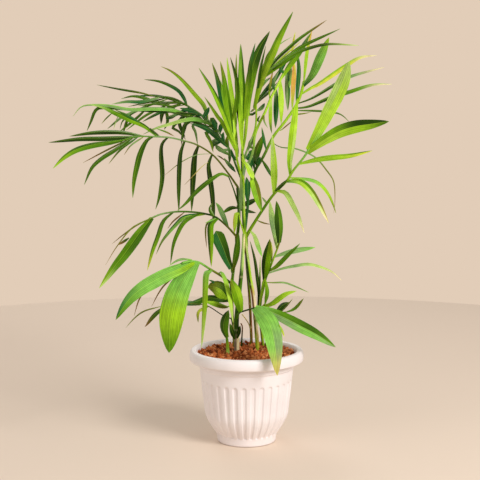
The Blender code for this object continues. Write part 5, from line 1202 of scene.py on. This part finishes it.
def featherFrond():
    tree, given = newTree("featherFrond", {
        "Round": ("Int", bladeShape["round"]), "Stalk Sides": ("Int", stalkShape["sides"]),
        "Thickness": ("Float", bladeShape["thickness"] * mm), "Fold": ("Float", bladeShape["fold"]),
        "Ridge": ("Float", bladeShape["ridge"] * mm), "Pleats": ("Float", bladeShape["pleats"]),
        "Pleat Height": ("Float", bladeShape["pleatHeight"]),
        "Blade Skin": ("Material", None), "Stalk Skin": ("Material", None)})
    isBlade, halfWidth, pleated, reach, seed, sideways, topSide = [
        add(tree, "GeometryNodeInputNamedAttribute", [name])
        for name in ("isBlade", "halfWidth", "pleated", "reach", "seed", "sideways", "topSide")]
    across, front = [add(tree, "GeometryNodeInputNamedAttribute", [name], data_type="FLOAT_VECTOR")
                     for name in ("across", "front")]
    onBlade = add(tree, "ShaderNodeMath", [isBlade, 0.5], operation="GREATER_THAN")
    lines = add(tree, "GeometryNodeMeshToCurve", [given["Geometry"]])
    ribbons = add(tree, "GeometryNodeSeparateGeometry", [lines, onBlade], domain="CURVE")
    stalk = ribbons.node.outputs["Inverted"]
    # a blade's section is a flat ring that keeps where across the blade, and on which face, each point is
    section, tube = [add(tree, "GeometryNodeCurvePrimitiveCircle", {"Resolution": given[name], "Radius": 1.0},
                         mode="RADIUS") for name in ("Round", "Stalk Sides")]
    spot = add(tree, "GeometryNodeInputPosition")
    for name, axis in (("sideways", "X"), ("topSide", "Y")):
        section = add(tree, "GeometryNodeStoreNamedAttribute", {
            "Geometry": section, "Name": name, "Value": add(tree, "ShaderNodeSeparateXYZ", [spot], out=axis)})
    flat = add(tree, "ShaderNodeVectorMath", [spot, (1, bladeShape["flatness"], 1)], operation="MULTIPLY")
    section = add(tree, "GeometryNodeSetPosition", {"Geometry": section, "Position": flat})
    ribbons = add(tree, "GeometryNodeSetCurveNormal", {"Curve": ribbons, "Normal": across}, mode="FREE")
    blades, stalks = [add(tree, "GeometryNodeCurveToMesh", {"Curve": curve, "Profile Curve": profile,
                                                            "Scale": halfWidth, "Fill Caps": True})
                      for curve, profile in ((ribbons, section), (stalk, tube))]
    away = add(tree, "ShaderNodeMath", [sideways], operation="ABSOLUTE")
    # the two halves fall from the midrib, less on a broad lobe
    drop = add(tree, "ShaderNodeMapRange", [pleated, 0.0, 1.0, -1.0, -bladeShape["broadFold"]])
    for share in (away, given["Fold"]):
        drop = add(tree, "ShaderNodeMath", [drop, share], operation="MULTIPLY")
    # a broad lobe's pleats die out at its edges
    edgeIn = add(tree, "ShaderNodeMath", [away, away], operation="MULTIPLY")
    edgeIn = add(tree, "ShaderNodeMath", [1.0, edgeIn], operation="SUBTRACT", use_clamp=True)
    edgeIn = add(tree, "ShaderNodeMath", [edgeIn], operation="SQRT")
    pleat = away
    for factor in (given["Pleats"], math.pi):
        pleat = add(tree, "ShaderNodeMath", [pleat, factor], operation="MULTIPLY")
    pleat = add(tree, "ShaderNodeMath", [pleat], operation="COSINE")
    for share in (given["Pleat Height"], pleated, edgeIn):
        pleat = add(tree, "ShaderNodeMath", [pleat, share], operation="MULTIPLY")
    offset = add(tree, "ShaderNodeMath", [drop, pleat], operation="ADD")
    offset = add(tree, "ShaderNodeMath", [offset, halfWidth], operation="MULTIPLY")
    # the leaf's own thickness, more along the midrib and less where it is narrow
    ridge = add(tree, "ShaderNodeMapRange", [away, 0.0, bladeShape["ridgeReach"], 1.0, 0.0])
    ridge = add(tree, "ShaderNodeMath", [ridge, given["Ridge"]], operation="MULTIPLY")
    skin = add(tree, "ShaderNodeMath", [given["Thickness"], 0.5, ridge], operation="MULTIPLY_ADD")
    skin = add(tree, "ShaderNodeMath", [skin, topSide], operation="MULTIPLY")
    thinner = add(tree, "ShaderNodeMath", [halfWidth, bladeShape["thinUnder"] * mm], operation="DIVIDE",
                  use_clamp=True)
    offset = add(tree, "ShaderNodeMath", [skin, thinner, offset], operation="MULTIPLY_ADD")
    offset = add(tree, "ShaderNodeVectorMath", {0: front, "Scale": offset}, operation="SCALE")
    blades = add(tree, "GeometryNodeSetPosition", {"Geometry": blades, "Offset": offset})
    # where on its leaf each point is, in mm across and along, with the leaf's own seed third
    mmAcross = add(tree, "ShaderNodeMath", [sideways, halfWidth], operation="MULTIPLY")
    mmAcross = add(tree, "ShaderNodeMath", [mmAcross, mm], operation="DIVIDE")
    seed = add(tree, "ShaderNodeMath", [seed, 7.3], operation="MULTIPLY")
    leafPlace = add(tree, "ShaderNodeCombineXYZ", [mmAcross, reach, seed])
    blades = add(tree, "GeometryNodeStoreNamedAttribute", {"Geometry": blades, "Name": "leafPlace",
                                                           "Value": leafPlace}, data_type="FLOAT_VECTOR")
    whole = add(tree, "GeometryNodeJoinGeometry", [blades])
    tree.links.new(stalks, whole.node.inputs[0])
    smooth = add(tree, "GeometryNodeSetShadeSmooth", [whole])
    finishTree(tree, smooth, (given["Stalk Skin"], True), (given["Blade Skin"], onBlade))
    return tree


frondTree = featherFrond()


def makeFrond(name, number):
    frond = fronds[name]
    path, inside = stalkPath(frond)
    lines = [stalkLine(frond, path, inside)]
    for i, (along, width, widest, tones, points) in enumerate(frond["blades"]):
        # a blade springs from the stalk, or from a leaf beside it
        root = place(*along) if isinstance(along, tuple) else alongPath(path, along)[0]
        lines.append(bladeLine(root, width, widest, tones, points, number * 31 + i * 7 + 1))
    guide = guideLines(name + "Lines", lines, bladeValues)
    broadest = max([blade[1] for blade in frond["blades"]], default=0)
    roundness = bladeShape["broadRound" if broadest > bladeShape["broadFrom"] else "round"]
    piece = grow(name + "Leaves", guide, frondTree, {
        "Blade Skin": leafMaterial, "Stalk Skin": stemMaterial, "Round": roundness}, bladeShape["sharp"])
    standFor(piece, name)
    return len(piece.data.polygons)


faces = [makeFrond(name, number) for number, name in enumerate(fronds)]
print(len(fronds), "fronds and single leaves made,", sum(faces), "faces")


studio = {
    "floor": "#e6d3c0", "floorRadius": 1.14, "floorDrop": 0.0005,   # m
    "backdrop": "#e2cdb8", "daylight": "#fffaf4", "daylightStrength": 0.5,
    "lamps": {"key": (39, (1.35, -1.45, 1.3), 0.9), "fill": (7, (-1.7, -1.3, 0.9), 1.2),
              "rim": (6, (-0.6, 1.5, 1.4), 0.8)},                   # watts, place and size in m
    "lampAim": (0, 0, 0.28),
    "lens": 93, "sensor": 36, "shift": -0.01375, "lookDown": 7.02,  # mm, mm, share of the frame, degrees
}


def makeFloor():
    bpy.ops.mesh.primitive_circle_add(vertices=128, radius=studio["floorRadius"], fill_type="NGON",
                                      location=(0, 0, -studio["floorDrop"]))
    floor = bpy.context.object
    floor.name = "studioFloor"
    board = newMaterial("paintedBoard", Roughness=0.8, Base_Color=linear(studio["floor"]))[0]
    floor.data.materials.append(board)


def makeLamp(name, watts, spot, size):
    lamp = bpy.data.lights.new(name, "AREA")
    lamp.energy = watts
    lamp.size = size
    holder = bpy.data.objects.new(name, lamp)
    holder.location = spot
    aim = Vector(studio["lampAim"]) - Vector(spot)
    holder.rotation_euler = aim.to_track_quat("-Z", "Y").to_euler()
    scene.collection.objects.link(holder)


def makeWorld():
    # the backdrop is what the camera and gloss see; the plant is lit by an even pale daylight
    world = bpy.data.worlds.new("studio")
    scene.world = world
    world.use_nodes = True
    tree = world.node_tree
    tree.nodes.clear()
    rays = tree.nodes.new("ShaderNodeLightPath")
    seen = rays.outputs["Is Camera Ray"]
    for ray in ("Is Glossy Ray", "Is Transmission Ray"):
        seen = add(tree, "ShaderNodeMath", [seen, rays.outputs[ray]], operation="MAXIMUM")
    light = add(tree, "ShaderNodeBackground", {"Color": linear(studio["daylight"]),
                                               "Strength": studio["daylightStrength"]})
    shown = add(tree, "ShaderNodeBackground", {"Color": linear(studio["backdrop"]), "Strength": 1.0})
    both = add(tree, "ShaderNodeMixShader", [seen, light, shown])
    tree.links.new(both, tree.nodes.new("ShaderNodeOutputWorld").inputs["Surface"])


def makeCamera():
    camera = bpy.data.cameras.new("camera")
    camera.lens = studio["lens"]
    camera.sensor_width = studio["sensor"]
    camera.shift_x = studio["shift"]
    holder = bpy.data.objects.new("camera", camera)
    holder.location = eye
    holder.rotation_euler = (math.radians(90 - studio["lookDown"]), 0, 0)
    scene.collection.objects.link(holder)
    scene.camera = holder


makeFloor()
for name, lamp in studio["lamps"].items():
    makeLamp(name, *lamp)
makeWorld()
makeCamera()
scene.view_settings.view_transform = "Standard"
print("studio, lamps and camera set")
